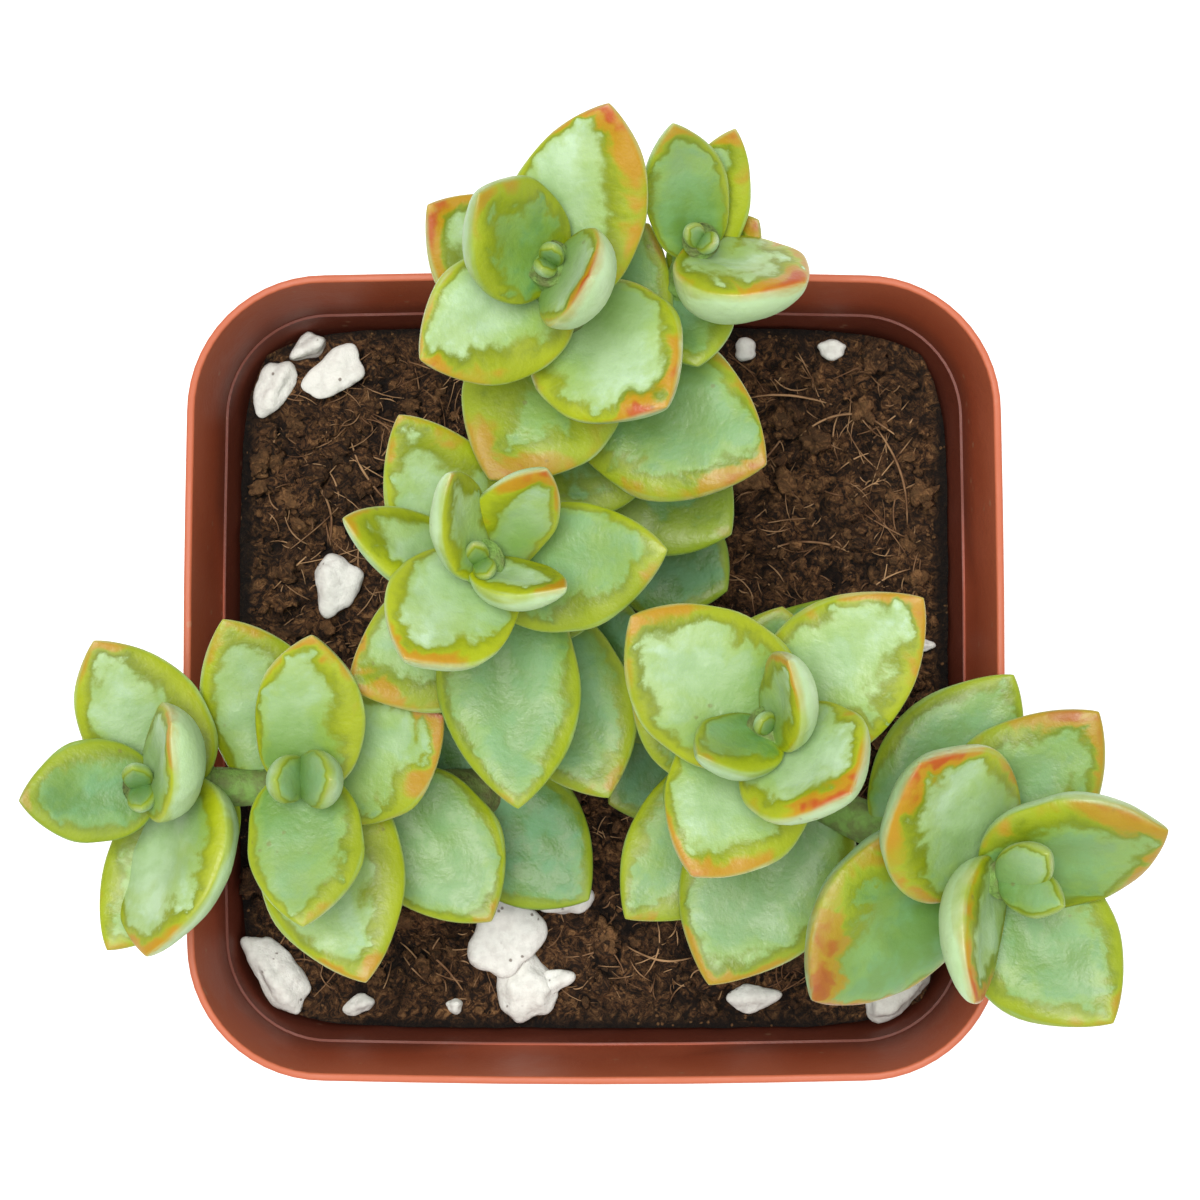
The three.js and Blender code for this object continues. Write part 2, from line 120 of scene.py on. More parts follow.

# The stems, as in the solids. route: control points of the curve. leaves: place along the
# stem, heading, rise, length, width, turn, then how the leaf has coloured: width of the
# coloured band in millimetres, warmth from yellow-green to red, shade from pale to deep
# green, where the deeper green is partly the leaf's age and partly painted shade on leaves
# that sit low or under others, and how far the band leans to the left (-1) or right (1)
# margin, seen from the root.
PLANT = {
    "stem_back": [
        {
            "radius": 1.6,
            "rooted": True,
            "route": [(3.6, 5.2, 40), (3.6, 9, 54), (-1.2, 21.5, 66), (-2.7, 25, 82)],
            "leaves": [
                (1.0, 70, 72, 2.4, 1.6, 0, 0.2, 0.1, 0.35, 0),
                (1.0, 235, 70, 2.2, 1.5, 0, 0.2, 0.1, 0.35, 0),
                (0.97, 138, 48, 8.4, 7.4, -12, 2.0, 0.22, 0.4, 0.2),
                (0.97, 335, 68, 7.0, 6.4, 0, 0.6, 0.45, 0.05, 0),
                (0.92, 73, 25, 12.0, 8.4, 0, 1.5, 0.42, 0.05, 0.6),
                (0.92, 210, 18, 10.0, 8.2, 12, 1.5, 0.36, 0.05, -0.7),
                (0.85, 144, 20, 11.0, 8.2, 0, 1.5, 0.4, 0.1, 0),
                (0.85, 315, 22, 9.6, 9.6, 0, 1.2, 0.42, 0.05, 0.2),
                (0.76, 238, 10, 10.4, 9.8, 0, 3.4, 0.34, 0.3, 0),
                (0.76, 58, 14, 9.0, 8.4, 0, 1.0, 0.2, 0.4, 0),
                (0.68, 333, 12, 13.2, 10.8, 0, 1.6, 0.42, 0.35, 0.35),
                (0.68, 150, 8, 8.0, 8.0, 0, 1.6, 0.1, 0.6, 0),
                (0.59, 255, 8, 7.4, 9.0, 0, 2.6, 0.15, 0.5, 0),
                (0.59, 75, 10, 8.0, 8.0, 0, 1.0, 0.1, 0.7, 0),
                (0.5, 325, 8, 10.0, 9.6, 0, 3.0, 0.05, 0.85, 0.3),
                (0.5, 150, 5, 7.6, 8.0, 0, 1.0, 0.05, 0.8, 0),
                (0.38, 60, 5, 7.6, 8.0, 0, 0.8, 0.05, 0.9, 0),
                (0.38, 245, 5, 6.0, 8.0, 0, 0.8, 0.05, 0.9, 0),
                (0.27, 330, 6, 7.6, 8.6, 0, 0.8, 0.05, 0.9, 0),
                (0.27, 150, 5, 7.0, 8.0, 0, 0.8, 0.05, 1.0, 0),
            ],
        },
        {
            "radius": 1.2,
            "route": [(0.4, 17, 67), (3.6, 22, 69), (6.4, 26, 70), (6.6, 27, 77)],
            "leaves": [
                (1.0, 150, 62, 2.2, 1.5, 0, 0.2, 0.1, 0.3, 0),
                (1.0, 330, 66, 2.2, 1.5, 0, 0.2, 0.1, 0.3, 0),
                (0.92, 104, 38, 9.0, 5.4, -10, 0.7, 0.15, 0.35, 0),
                (0.92, 338, 30, 8.0, 8.8, 52, 2.2, 0.5, 0.0, -0.2),
                (0.8, 72, 28, 9.2, 4.6, 0, 1.5, 0.3, 0.2, 0.4),
                (0.66, 38, 20, 6.4, 5.4, 0, 1.8, 0.42, 0.4, 0.2),
                (0.66, 280, 12, 5.6, 6.0, 0, 1.0, 0.1, 0.5, 0),
            ],
        },
    ],
    "stem_middle": [
        {
            "radius": 1.5,
            "rooted": True,
            "route": [(-0.6, -0.6, 40), (-2, 0, 54), (-6, 5.5, 62), (-7, 7.2, 77)],
            "leaves": [
                (1.0, 110, 60, 2.2, 1.5, 0, 0.2, 0.1, 0.35, 0),
                (1.0, 300, 60, 2.2, 1.5, 0, 0.2, 0.1, 0.35, 0),
                (0.98, 108, 48, 8.2, 5.0, -50, 1.2, 0.12, 0.05, 0),
                (0.98, 343, 36, 6.8, 4.6, 55, 1.4, 0.25, 0.0, 0),
                (0.94, 56, 40, 9.2, 5.4, -25, 1.3, 0.36, 0.1, -0.5),
                (0.94, 230, 36, 9.2, 8.2, -8, 1.3, 0.32, 0.0, -0.2),
                (0.88, 159, 27, 10.8, 6.0, -35, 1.3, 0.12, 0.1, -0.4),
                (0.88, 8, 15, 11.6, 8.2, 0, 1.4, 0.1, 0.35, 0.4),
                (0.8, 120, 16, 13.0, 8.0, 0, 1.5, 0.25, 0.1, 0.3),
                (0.76, 274, 8, 14.0, 9.2, 0, 1.0, 0.1, 0.4, 0),
                (0.69, 207, 9, 12.0, 8.8, 0, 1.7, 0.32, 0.2, -0.6),
                (0.68, 35, 8, 7.4, 8.0, 0, 1.0, 0.1, 0.5, 0),
                (0.55, 295, 5, 12.6, 9.4, 0, 1.4, 0.1, 0.45, 0.2),
                (0.55, 125, 8, 7.4, 8.0, 0, 1.0, 0.05, 0.7, 0),
                (0.42, 10, 8, 7.0, 8.4, 0, 0.8, 0.05, 0.85, 0),
                (0.42, 200, 8, 8.0, 8.4, 0, 0.8, 0.05, 0.85, 0),
                (0.29, 105, 5, 7.0, 7.6, 0, 0.8, 0.05, 1.0, 0),
            ],
        },
    ],
    "stem_left": [
        {
            "radius": 1.7,
            "rooted": True,
            "route": [(-2.5, -8.8, 40), (-6, -8.5, 50), (-13, -7.5, 54), (-20.5, -7.2, 60.5)],
            "leaves": [
                (0.95, 115, 13, 12.6, 8.6, 0, 1.2, 0.15, 0.15, 0.2),
                (0.95, 288, 8, 13.8, 9.8, 0, 1.7, 0.22, 0.15, -0.5),
                (0.7, 308, 5, 11.4, 9.2, 0, 0.8, 0.08, 0.3, 0),
                (0.7, 128, 8, 8.0, 8.4, 0, 1.0, 0.05, 0.6, 0),
                (0.42, 318, 2, 11.0, 9.4, 0, 0.9, 0.05, 0.7, 0),
                (0.42, 140, 8, 7.4, 8.0, 0, 0.8, 0.05, 0.9, 0),
                (0.24, 225, 6, 8.4, 8.6, 0, 0.8, 0.05, 0.9, 0),
            ],
        },
        {
            "radius": 1.3,
            "route": [(-18, -7.4, 58.5), (-18.8, -7.2, 61.5), (-18.9, -6.8, 65), (-18.8, -6.6, 67.5)],
            "leaves": [
                (1.0, 175, 66, 4.0, 3.2, 0, 0.25, 0.05, 0.35, 0),
                (1.0, 5, 62, 4.8, 3.8, 0, 0.25, 0.05, 0.35, 0),
                (0.8, 85, 24, 10.4, 7.2, 0, 1.5, 0.32, 0.1, 0.5),
                (0.8, 271, 20, 9.8, 7.6, 0, 1.1, 0.1, 0.3, -0.4),
                (0.36, 28, 14, 10.2, 8.6, 0, 1.7, 0.52, 0.15, 0.4),
            ],
        },
        {
            "radius": 1.3,
            "route": [(-19, -7.3, 59.6), (-25, -7.4, 60), (-28.5, -7.2, 59.5), (-29.6, -7.1, 65.5)],
            "leaves": [
                (1.0, 95, 62, 3.0, 2.0, 0, 0.2, 0.05, 0.4, 0),
                (1.0, 290, 62, 3.0, 2.0, 0, 0.2, 0.05, 0.4, 0),
                (0.93, 186, 18, 8.4, 6.8, 0, 1.2, 0.08, 0.55, 0),
                (0.93, 60, 52, 8.0, 7.4, 55, 0.9, 0.3, 0.05, 0),
                (0.66, 118, 16, 11.4, 8.4, 0, 1.4, 0.2, 0.1, 0.2),
                (0.66, 261, 16, 11.6, 10.6, -44, 1.5, 0.3, 0.05, -0.3),
                (0.45, 238, 6, 12.8, 7.8, 0, 1.5, 0.2, 0.25, 0.2),
            ],
        },
    ],
    "stem_right": [
        {
            "radius": 1.6,
            "rooted": True,
            "route": [(9, -3, 39.3), (9.6, -5, 52), (11.6, -5.6, 64), (10.9, -3.1, 76)],
            "leaves": [
                (1.0, 140, 70, 2.4, 1.6, 0, 0.2, 0.1, 0.3, 0),
                (0.98, 80, 55, 7.6, 5.4, 60, 1.2, 0.4, 0.05, 0),
                (0.98, 197, 41, 6.4, 5.0, -35, 1.0, 0.12, 0.4, -0.5),
                (0.94, 140, 15, 11.8, 9.8, 0, 1.5, 0.3, 0.1, 0.1),
                (0.94, 323, 48, 8.6, 8.8, 8, 1.3, 0.42, 0.0, 0),
                (0.87, 43, 12, 13.4, 9.2, 0, 1.5, 0.42, 0.1, 0.4),
                (0.87, 240, 15, 10.2, 9.4, 0, 1.4, 0.38, 0.1, -0.4),
                (0.76, 155, 10, 9.6, 9.0, 0, 1.4, 0.2, 0.35, 0),
                (0.62, 80, 6, 9.6, 9.0, 0, 1.0, 0.15, 0.5, 0),
                (0.62, 245, 6, 9.0, 9.0, 0, 1.0, 0.05, 0.7, 0),
                (0.32, 45, 4, 14.0, 9.6, 0, 0.7, 0.05, 0.85, 0),
                (0.2, 145, 6, 10.4, 9.4, 0, 0.7, 0.05, 0.95, 0),
                (0.2, 210, 4, 9.8, 9.0, 0, 0.7, 0.05, 0.8, 0),
                (0.2, 320, 6, 7.6, 8.0, 0, 0.7, 0.05, 0.9, 0),
            ],
        },
        {
            "radius": 1.4,
            "route": [(10.4, -4.6, 56), (14, -9, 57), (24.5, -12, 58), (26.2, -12.8, 71)],
            "leaves": [
                (1.0, 40, 50, 4.6, 3.4, 0, 0.25, 0.1, 0.25, 0),
                (1.0, 335, 42, 4.8, 3.2, 0, 0.25, 0.1, 0.35, 0),
                (0.95, 254, 36, 9.8, 7.4, 60, 1.5, 0.48, 0.05, 0),
                (0.95, 17, 24, 11.6, 9.2, -36, 1.7, 0.45, 0.35, -0.4),
                (0.87, 124, 42, 11.4, 10.6, -10, 1.7, 0.5, 0.05, -0.4),
                (0.87, 310, 11, 13.0, 10.4, 0, 1.5, 0.22, 0.4, -0.1),
                (0.78, 48, 11, 13.4, 9.4, 0, 1.6, 0.42, 0.35, -0.2),
                (0.78, 222, 12, 13.6, 11.6, 32, 2.4, 0.62, 0.45, 0.8),
                (0.58, 56, 5, 13.2, 9.0, 0, 0.9, 0.1, 0.4, 0),
                (0.58, 285, 4, 8.0, 8.0, 0, 1.0, 0.1, 0.6, 0),
                (0.26, 243, 5, 14.6, 11.2, 0, 1.3, 0.3, 0.3, -0.1),
                (0.12, 226, 2, 14.2, 9.8, 0, 1.5, 0.1, 0.35, -0.2),
            ],
        },
    ],
}

# Perlite lumps, as in the solids: x, y, height over the soil, three diameters, heading
PERLITE = {
    "perlite_01": [(-23.4, 21.2, 0.3, 3.6, 2.6, 1.8, 60)],
    "perlite_02": [(-21.0, 24.2, 0.2, 2.8, 2.0, 1.8, 30)],
    "perlite_03": [(-19.0, 22.2, 1.2, 4.6, 2.8, 1.6, 35)],
    "perlite_04": [(11.0, 23.9, 0.4, 2.0, 1.6, 1.6, 0)],
    "perlite_05": [(17.4, 24.0, 0.0, 2.4, 1.3, 1.5, 0)],
    "perlite_06": [(-18.8, 6.7, 0.6, 4.4, 3.2, 2.6, 80)],
    "perlite_07": [(24.2, 2.4, 0.2, 1.3, 1.1, 1.2, 0)],
    "perlite_08": [(-23.2, -21.5, 0.8, 5.8, 3.0, 2.6, -54)],
    "perlite_09": [(-17.2, -23.9, 0.3, 2.0, 1.5, 1.5, 20)],
    "perlite_10": [(-10.2, -24.0, 0.1, 1.3, 1.0, 1.1, 0)],
    "perlite_11": [
        (-6.5, -18.8, 0.7, 5.6, 4.8, 3.0, 60),
        (-5.1, -22.3, 0.6, 5.4, 3.6, 2.6, -70),
        (-2.9, -22.1, 0.5, 2.8, 2.0, 1.5, 20),
    ],
    "perlite_12": [(-2.0, -16.0, 0.5, 4.2, 2.8, 2.2, 15)],
    "perlite_13": [(11.6, -23.3, 0.4, 3.6, 2.2, 1.8, 5)],
    "perlite_14": [(22.0, -22.9, 0.7, 5.2, 3.2, 2.4, 36)],
}


def lerp(low, high, share):
    return low + (high - low) * share


def to_linear(channel):
    """One channel as a screen shows it, 0 to 255, as the light that a shader takes."""
    level = channel / 255
    if level <= 0.04045:
        return level / 12.92
    return ((level + 0.055) / 1.055) ** 2.4


def rgb(red, green, blue):
    """A colour as a screen shows it, 0 to 255, with full opacity."""
    return (to_linear(red), to_linear(green), to_linear(blue), 1.0)


def add_object(name, data):
    """A new object in the scene."""
    made = bpy.data.objects.new(name, data)
    bpy.context.scene.collection.objects.link(made)
    return made


def new_mesh(name, points, faces):
    """A mesh from points in millimetres."""
    mesh = bpy.data.meshes.new(name)
    mesh.from_pydata([tuple(MM * c for c in point) for point in points], [], faces)
    return mesh


def mesh_piece(name, points, faces, material):
    """A smooth new piece from points in millimetres; it rides on the pot's body."""
    mesh = new_mesh(name, points, faces)
    mesh.polygons.foreach_set("use_smooth", [True] * len(mesh.polygons))
    mesh.materials.append(material)
    mesh.update()
    piece = add_object(name, mesh)
    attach(piece, "root")
    return piece


def loft_faces(rings, count, start=0):
    """Four-sided faces between rows of points that go round the same way."""
    faces = []
    for ring in range(rings - 1):
        for i in range(count):
            a = start + ring * count + i
            b = start + ring * count + (i + 1) % count
            faces.append((a, b, b + count, a + count))
    return faces


def end_faces(count, total, start=0):
    """Flat faces that close the first and the last ring of a loft."""
    first = tuple(reversed(range(start, start + count)))
    last = tuple(range(total - count, total))
    return [first, last]


def cap_faces(tip, first, count, outward):
    """A fan of triangles from a point to a ring."""
    faces = []
    for i in range(count):
        near = first + i
        far = first + (i + 1) % count
        faces.append((tip, near, far) if outward else (tip, far, near))
    return faces


def join_shape(points, faces, more_points, more_faces):
    """Adds one shape to the points and faces of a mesh that holds several."""
    start = len(points)
    points += more_points
    faces += [tuple(start + corner for corner in face) for face in more_faces]


# Shader building blocks

class Graph:
    """Short calls that add nodes to a material or a node group."""

    def __init__(self, tree):
        self.tree = tree

    def node(self, kind, **settings):
        made = self.tree.nodes.new(kind)
        for key, value in settings.items():
            setattr(made, key, value)
        return made

    def feed(self, source, target):
        """Joins an output to an input, or sets the input to a plain value."""
        if isinstance(source, bpy.types.NodeSocket):
            self.tree.links.new(source, target)
        else:
            target.default_value = source

    def math(self, operation, *values, clamp=False):
        made = self.node("ShaderNodeMath", operation=operation, use_clamp=clamp)
        for value, socket in zip(values, made.inputs):
            self.feed(value, socket)
        return made.outputs[0]

    def times(self, value, factor):
        return self.math("MULTIPLY", value, factor)

    def plus(self, first, second, clamp=False):
        return self.math("ADD", first, second, clamp=clamp)

    def swing(self, value, reach):
        """Turns noise around a half into a swing around zero."""
        return self.times(self.math("SUBTRACT", value, 0.5), reach)

    def span(self, value, low, high, to_low=0.0, to_high=1.0, smooth=True):
        """Maps a range of a value to another, eased, and held at its ends."""
        made = self.node("ShaderNodeMapRange")
        made.interpolation_type = "SMOOTHSTEP" if smooth else "LINEAR"
        inputs = (value, low, high, to_low, to_high)
        for given, socket in zip(inputs, made.inputs):
            self.feed(given, socket)
        return made.outputs[0]

    def mix(self, share, first, second):
        made = self.node("ShaderNodeMix", data_type="RGBA")
        self.feed(share, made.inputs[0])
        self.feed(first, made.inputs[6])
        self.feed(second, made.inputs[7])
        return made.outputs[2]

    def tint(self, most, mask, first, second):
        """Mixes the second colour in where the mask is 1, by a share of at most so much."""
        return self.mix(self.times(mask, most), first, second)

    def noise(self, place, scale, detail=3.0, roughness=0.55, distortion=0.0):
        made = self.node("ShaderNodeTexNoise")
        self.feed(place, made.inputs["Vector"])
        self.feed(scale, made.inputs["Scale"])
        made.inputs["Detail"].default_value = detail
        made.inputs["Roughness"].default_value = roughness
        made.inputs["Distortion"].default_value = distortion
        return made.outputs["Fac"]

    def cells(self, place, scale):
        """Distance to the nearest of many scattered points."""
        made = self.node("ShaderNodeTexVoronoi", feature="F1")
        self.feed(place, made.inputs["Vector"])
        self.feed(scale, made.inputs["Scale"])
        return made.outputs["Distance"]

    def attribute(self, name):
        return self.node("ShaderNodeAttribute", attribute_name=name).outputs["Fac"]

    def place(self):
        return self.node("ShaderNodeTexCoord").outputs["Object"]


def node_group(name, inputs, outputs):
    """An empty shader group with named float, colour or vector sockets."""
    tree = bpy.data.node_groups.new(name, "ShaderNodeTree")
    kinds = {
        "float": "NodeSocketFloat",
        "colour": "NodeSocketColor",
        "vector": "NodeSocketVector",
    }
    for label, kind in inputs.items():
        tree.interface.new_socket(label, in_out="INPUT", socket_type=kinds[kind])
    for label, kind in outputs.items():
        tree.interface.new_socket(label, in_out="OUTPUT", socket_type=kinds[kind])
    given = tree.nodes.new("NodeGroupInput").outputs
    result = tree.nodes.new("NodeGroupOutput").inputs
    return tree, Graph(tree), given, result


def use_group(graph, tree, **values):
    """Places a group in a material with its own values."""
    made = graph.node("ShaderNodeGroup", node_tree=tree)
    for label, value in values.items():
        graph.feed(value, made.inputs[label])
    return made.outputs


def new_material(name):
    material = bpy.data.materials.new(name)
    material.use_nodes = True
    graph = Graph(material.node_tree)
    shader = material.node_tree.nodes["Principled BSDF"]
    return material, graph, shader


def set_plain(shader, **values):
    """Sets what is the same all over a surface, on the shader's own sockets."""
    for label, value in values.items():
        shader.inputs[label.replace("_", " ")].default_value = value


def bump(graph, shader, height, distance, strength=1.0):
    """Low relief: a height that the shader shows as a slope, at most so many millimetres."""
    made = graph.node("ShaderNodeBump")
    made.inputs["Distance"].default_value = distance * MM
    made.inputs["Strength"].default_value = strength
    graph.feed(height, made.inputs["Height"])
    graph.feed(made.outputs["Normal"], shader.inputs["Normal"])


# Grain: finer noise over a coarse one, and the coarse noise's range that makes the patches
FINE_GRAIN_RATE = 5.0
FINE_GRAIN_SHARE = 0.35
PATCH_RANGE = (0.38, 0.66)


def grain_group():
    """Fine uneven grain at a chosen size: a height and a patchy mask."""
    tree, graph, given, result = node_group(
        "fine_grain",
        {"Place": "vector", "Scale": "float"},
        {"Height": "float", "Patches": "float"},
    )
    coarse = graph.noise(given["Place"], given["Scale"], detail=4.0)
    fine = graph.noise(given["Place"], graph.times(given["Scale"], FINE_GRAIN_RATE))
    height = graph.plus(coarse, graph.times(fine, FINE_GRAIN_SHARE))
    graph.feed(height, result["Height"])
    graph.feed(graph.span(coarse, *PATCH_RANGE), result["Patches"])
    return tree


# Specks: how ragged a dot is and over what range of noise dots are kept
SPECK_RAG_RATE = 3.0
SPECK_RAG = 0.25
SPECK_FIELD_RATE = 0.37
SPECK_FIELD_FADE = 0.05


def specks_group():
    """Sparse small dots with uneven outlines, as a mask."""
    tree, graph, given, result = node_group(
        "sparse_specks",
        {"Place": "vector", "Scale": "float", "Size": "float", "Share": "float"},
        {"Mask": "float"},
    )
    dots = graph.cells(given["Place"], given["Scale"])
    ragged = graph.noise(given["Place"], graph.times(given["Scale"], SPECK_RAG_RATE))
    reach = graph.plus(dots, graph.swing(ragged, SPECK_RAG))
    dot = graph.span(reach, given["Size"], graph.times(given["Size"], 0.5))
    field_scale = graph.times(given["Scale"], SPECK_FIELD_RATE)
    where = graph.noise(given["Place"], field_scale, detail=1.0)
    kept = graph.span(where, given["Share"], graph.plus(given["Share"], SPECK_FIELD_FADE))
    graph.feed(graph.times(dot, kept), result["Mask"])
    return tree


# Wash at a leaf's margin. Its inner edge wanders and frays by shares of the band's width,
# and the margin itself wanders by millimetres.
WASH_PATCH_SCALE = 330.0
WASH_FRAY_SCALE = 1300.0
WASH_WANDER = 3.2
WASH_FRAY = 1.1
LEAST_REACH = 0.02
MARGIN_WANDER = 0.3
# Ranges, each from one end to the other, then what they become where that isn't 0 to 1.
# Along the leaf: how the band grows, and how its tip warms.
BAND_GROWTH = (0.02, 0.5, 0.35, 1.0)
TIP_HEAT = (0.55, 1.0, -0.2, 0.2)
# Across the band, 0 at the margin and 1 at its inner edge
BAND_FADE = (1.15, 0.7)
DEPTH_HEAT = (0.15, 0.85, 0.03, -0.36)
INNER_EDGE = (0.25, 0.85)
HALO_FADE = (2.4, 0.9)
# Round the margin, in millimetres
BAND_ROUND = (-0.32, 0.06)
UNDER_ROUND = (0.0, -0.28)


def margin_group():
    """The coloured band inside a leaf's margin, with a ragged inner edge like a wash.

    Edge is the distance from the margin in millimetres: above zero on the upper face and
    below zero on the underside.
    """
    tree, graph, given, result = node_group(
        "margin_wash",
        dict.fromkeys(("Edge", "Band", "Along", "Warmth"), "float") | {"Place": "vector"},
        dict.fromkeys(("Band", "Heat", "Under", "Inner", "Halo"), "float"),
    )
    broad = graph.noise(given["Place"], WASH_PATCH_SCALE, detail=2.0, distortion=0.6)
    ragged = graph.noise(given["Place"], WASH_FRAY_SCALE, detail=4.0, roughness=0.65)
    uneven = graph.plus(graph.swing(broad, WASH_WANDER), graph.swing(ragged, WASH_FRAY))
    # The band starts past the root and is widest towards the tip
    grown = graph.span(given["Along"], *BAND_GROWTH)
    reach = graph.times(graph.times(given["Band"], graph.plus(uneven, 1.0)), grown)
    depth = graph.math("DIVIDE", given["Edge"], graph.math("MAXIMUM", reach, LEAST_REACH))
    # Upper face and band give way to the underside a little unevenly round the margin
    lip = graph.math("SUBTRACT", given["Edge"], graph.times(broad, MARGIN_WANDER))
    inside = graph.span(depth, *BAND_FADE)
    graph.feed(graph.times(inside, graph.span(lip, *BAND_ROUND)), result["Band"])
    graph.feed(graph.span(lip, *UNDER_ROUND), result["Under"])
    # Warm colour gathers in patches and at the tip
    tip = graph.span(given["Along"], *TIP_HEAT)
    warm = graph.plus(graph.plus(given["Warmth"], tip), graph.swing(broad, 1.0))
    heat = graph.plus(warm, graph.span(depth, *DEPTH_HEAT), clamp=True)
    graph.feed(heat, result["Heat"])
    # The wash dries darker at its inner edge and tints the face a little past it
    graph.feed(graph.span(depth, *INNER_EDGE), result["Inner"])
    graph.feed(graph.span(depth, *HALO_FADE), result["Halo"])
    return tree


LEAF_FROST = rgb(184, 208, 176)
LEAF_BLOOM = rgb(132, 162, 88)
LEAF_GREEN = rgb(98, 136, 38)
LEAF_DEEP = rgb(70, 114, 36)
LEAF_TEAL = rgb(88, 138, 90)
LEAF_UNDER = rgb(174, 200, 152)
LEAF_HALO = rgb(136, 162, 48)
LEAF_OLIVE = rgb(88, 124, 30)
WASH_LIME = rgb(152, 163, 3)
WASH_OLIVE = rgb(106, 120, 2)
WASH_AMBER = rgb(170, 126, 0)
WASH_RUST = rgb(166, 70, 0)
WASH_RED = rgb(158, 38, 10)
SPECK_BROWN = rgb(110, 96, 50)


# The band's colours as it warms: the range of heat over which each one comes in
WASH_STEPS = [
    (0.2, 0.5, WASH_AMBER),
    (0.56, 0.76, WASH_RUST),
    (0.78, 0.95, WASH_RED),
]


# Upper face, along the leaf: where the bloom and the frost on it come in. The green before
# the bloom, near the stem, is partly the leaf's colour and partly painted shade in the axil
BLOOM_ALONG = (0.05, 0.72)
FROST_ALONG = (0.3, 0.85)
FROST_MOST = 0.55
FROST_PATCHES = 0.3
MOTTLING = 0.3
# By shade, 0 on a young leaf and 1 on an older one low down, where the deeper colour is
# partly age and partly painted shade: what is left of the frost, what is added to it, how
# aged and shaded the colour looks, and how strong the tint past the band is
FROST_LEFT = (0.08, 0.4, 1.0, 0.4)
FROST_ADDED = (0.08, 0.0, 0.0, 0.34)
AGE_AND_SHADE_DARKENING = (0.04, 0.62, 0.0, 0.92)
HALO_BY_SHADE = (0.0, 1.0, 0.5, 0.1)
UNDER_AGE_AND_SHADE = 0.75
UNDER_MOTTLING = 0.22
BAND_AGE_AND_SHADE = 0.6
# The dry colour of the band: most at its inner edge, and most in patches
DRY_EDGE = 0.65
DRY_PATCHES = 0.4


def upper_face(graph, along, shade, bloom, broad):
    """Green near the stem, partly the leaf's colour and partly painted shade in the axil, a pale wax
    bloom over the rest, whitest far out on young leaves, and deep green on older leaves low down,
    partly by age and partly as painted shade.
    """
    # Near the stem the green is partly the leaf's colour and partly painted shade in the axil
    waxed = graph.mix(graph.span(along, *BLOOM_ALONG), LEAF_GREEN, LEAF_BLOOM)
    frost = graph.times(graph.span(along, *FROST_ALONG), FROST_MOST)
    frost = graph.plus(frost, graph.times(broad, FROST_PATCHES))
    frost = graph.times(frost, graph.span(shade, *FROST_LEFT))
    frost = graph.plus(frost, graph.span(shade, *FROST_ADDED), clamp=True)
    waxed = graph.mix(frost, waxed, LEAF_FROST)
    mottled = graph.tint(MOTTLING, bloom, waxed, LEAF_GREEN)
    # Deep green on older leaves low down: partly their colour and partly painted shade
    aged_and_shaded = graph.mix(bloom, LEAF_DEEP, LEAF_TEAL)
    return graph.mix(graph.span(shade, *AGE_AND_SHADE_DARKENING, smooth=False), mottled, aged_and_shaded)


def underside(graph, shade, bloom):
    """The pale, even back of a leaf, duller on older leaves low down, partly by age and partly as
    painted shade.
    """
    under = graph.tint(UNDER_AGE_AND_SHADE, shade, LEAF_UNDER, LEAF_TEAL)
    return graph.tint(UNDER_MOTTLING, bloom, under, LEAF_BLOOM)


def band_colour(graph, margin, shade, broad):
    """Lime with a dry olive inner edge, then amber, rust and red as it warms."""
    dry = graph.times(margin["Inner"], DRY_EDGE)
    dry = graph.plus(dry, graph.times(broad, DRY_PATCHES), clamp=True)
    wash = graph.mix(dry, WASH_LIME, WASH_OLIVE)
    for cool, warm, colour in WASH_STEPS:
        wash = graph.mix(graph.span(margin["Heat"], cool, warm), wash, colour)
    # Olive on older leaves low down: partly their colour and partly painted shade
    return graph.tint(BAND_AGE_AND_SHADE, shade, wash, LEAF_OLIVE)


def leaf_material(groups):
    material, graph, shader = new_material("succulent_leaf")
    place = graph.place()
    along = graph.attribute("along")
    shade = graph.attribute("shade")
    margin = use_group(
        graph,
        groups["margin"],
        Place=place,
        Edge=graph.attribute("edge"),
        Band=graph.attribute("band"),
        Along=along,
        Warmth=graph.attribute("warmth"),
    )
    bloom = use_group(graph, groups["grain"], Place=place, Scale=520.0)
    broad = use_group(graph, groups["grain"], Place=place, Scale=110.0)["Patches"]
    specks = use_group(
        graph, groups["specks"], Place=place, Scale=900.0, Size=0.2, Share=0.62,
    )
    patches = bloom["Patches"]
    halo = graph.times(margin["Halo"], graph.span(shade, *HALO_BY_SHADE))
    upper = graph.mix(halo, upper_face(graph, along, shade, patches, broad), LEAF_HALO)
    body = graph.mix(margin["Under"], upper, underside(graph, shade, patches))
    wash = band_colour(graph, margin, shade, broad)
    coloured = graph.mix(margin["Band"], body, wash)
    dotted = graph.tint(0.45, specks["Mask"], coloured, SPECK_BROWN)
    graph.feed(dotted, shader.inputs["Base Color"])
    graph.feed(graph.span(patches, 0.0, 1.0, 0.42, 0.54), shader.inputs["Roughness"])
    # Light sinks a little way into the flesh, and green and red further than blue
    set_plain(shader, Subsurface_Weight=0.12, Subsurface_Scale=MM)
    set_plain(shader, Subsurface_Radius=(0.9, 1.0, 0.35))
    bump(graph, shader, bloom["Height"], distance=0.22, strength=0.5)
    return material


STEM_YOUNG = rgb(112, 146, 66)
STEM_BARK = rgb(112, 88, 62)
STEM_SCAR = rgb(82, 60, 42)


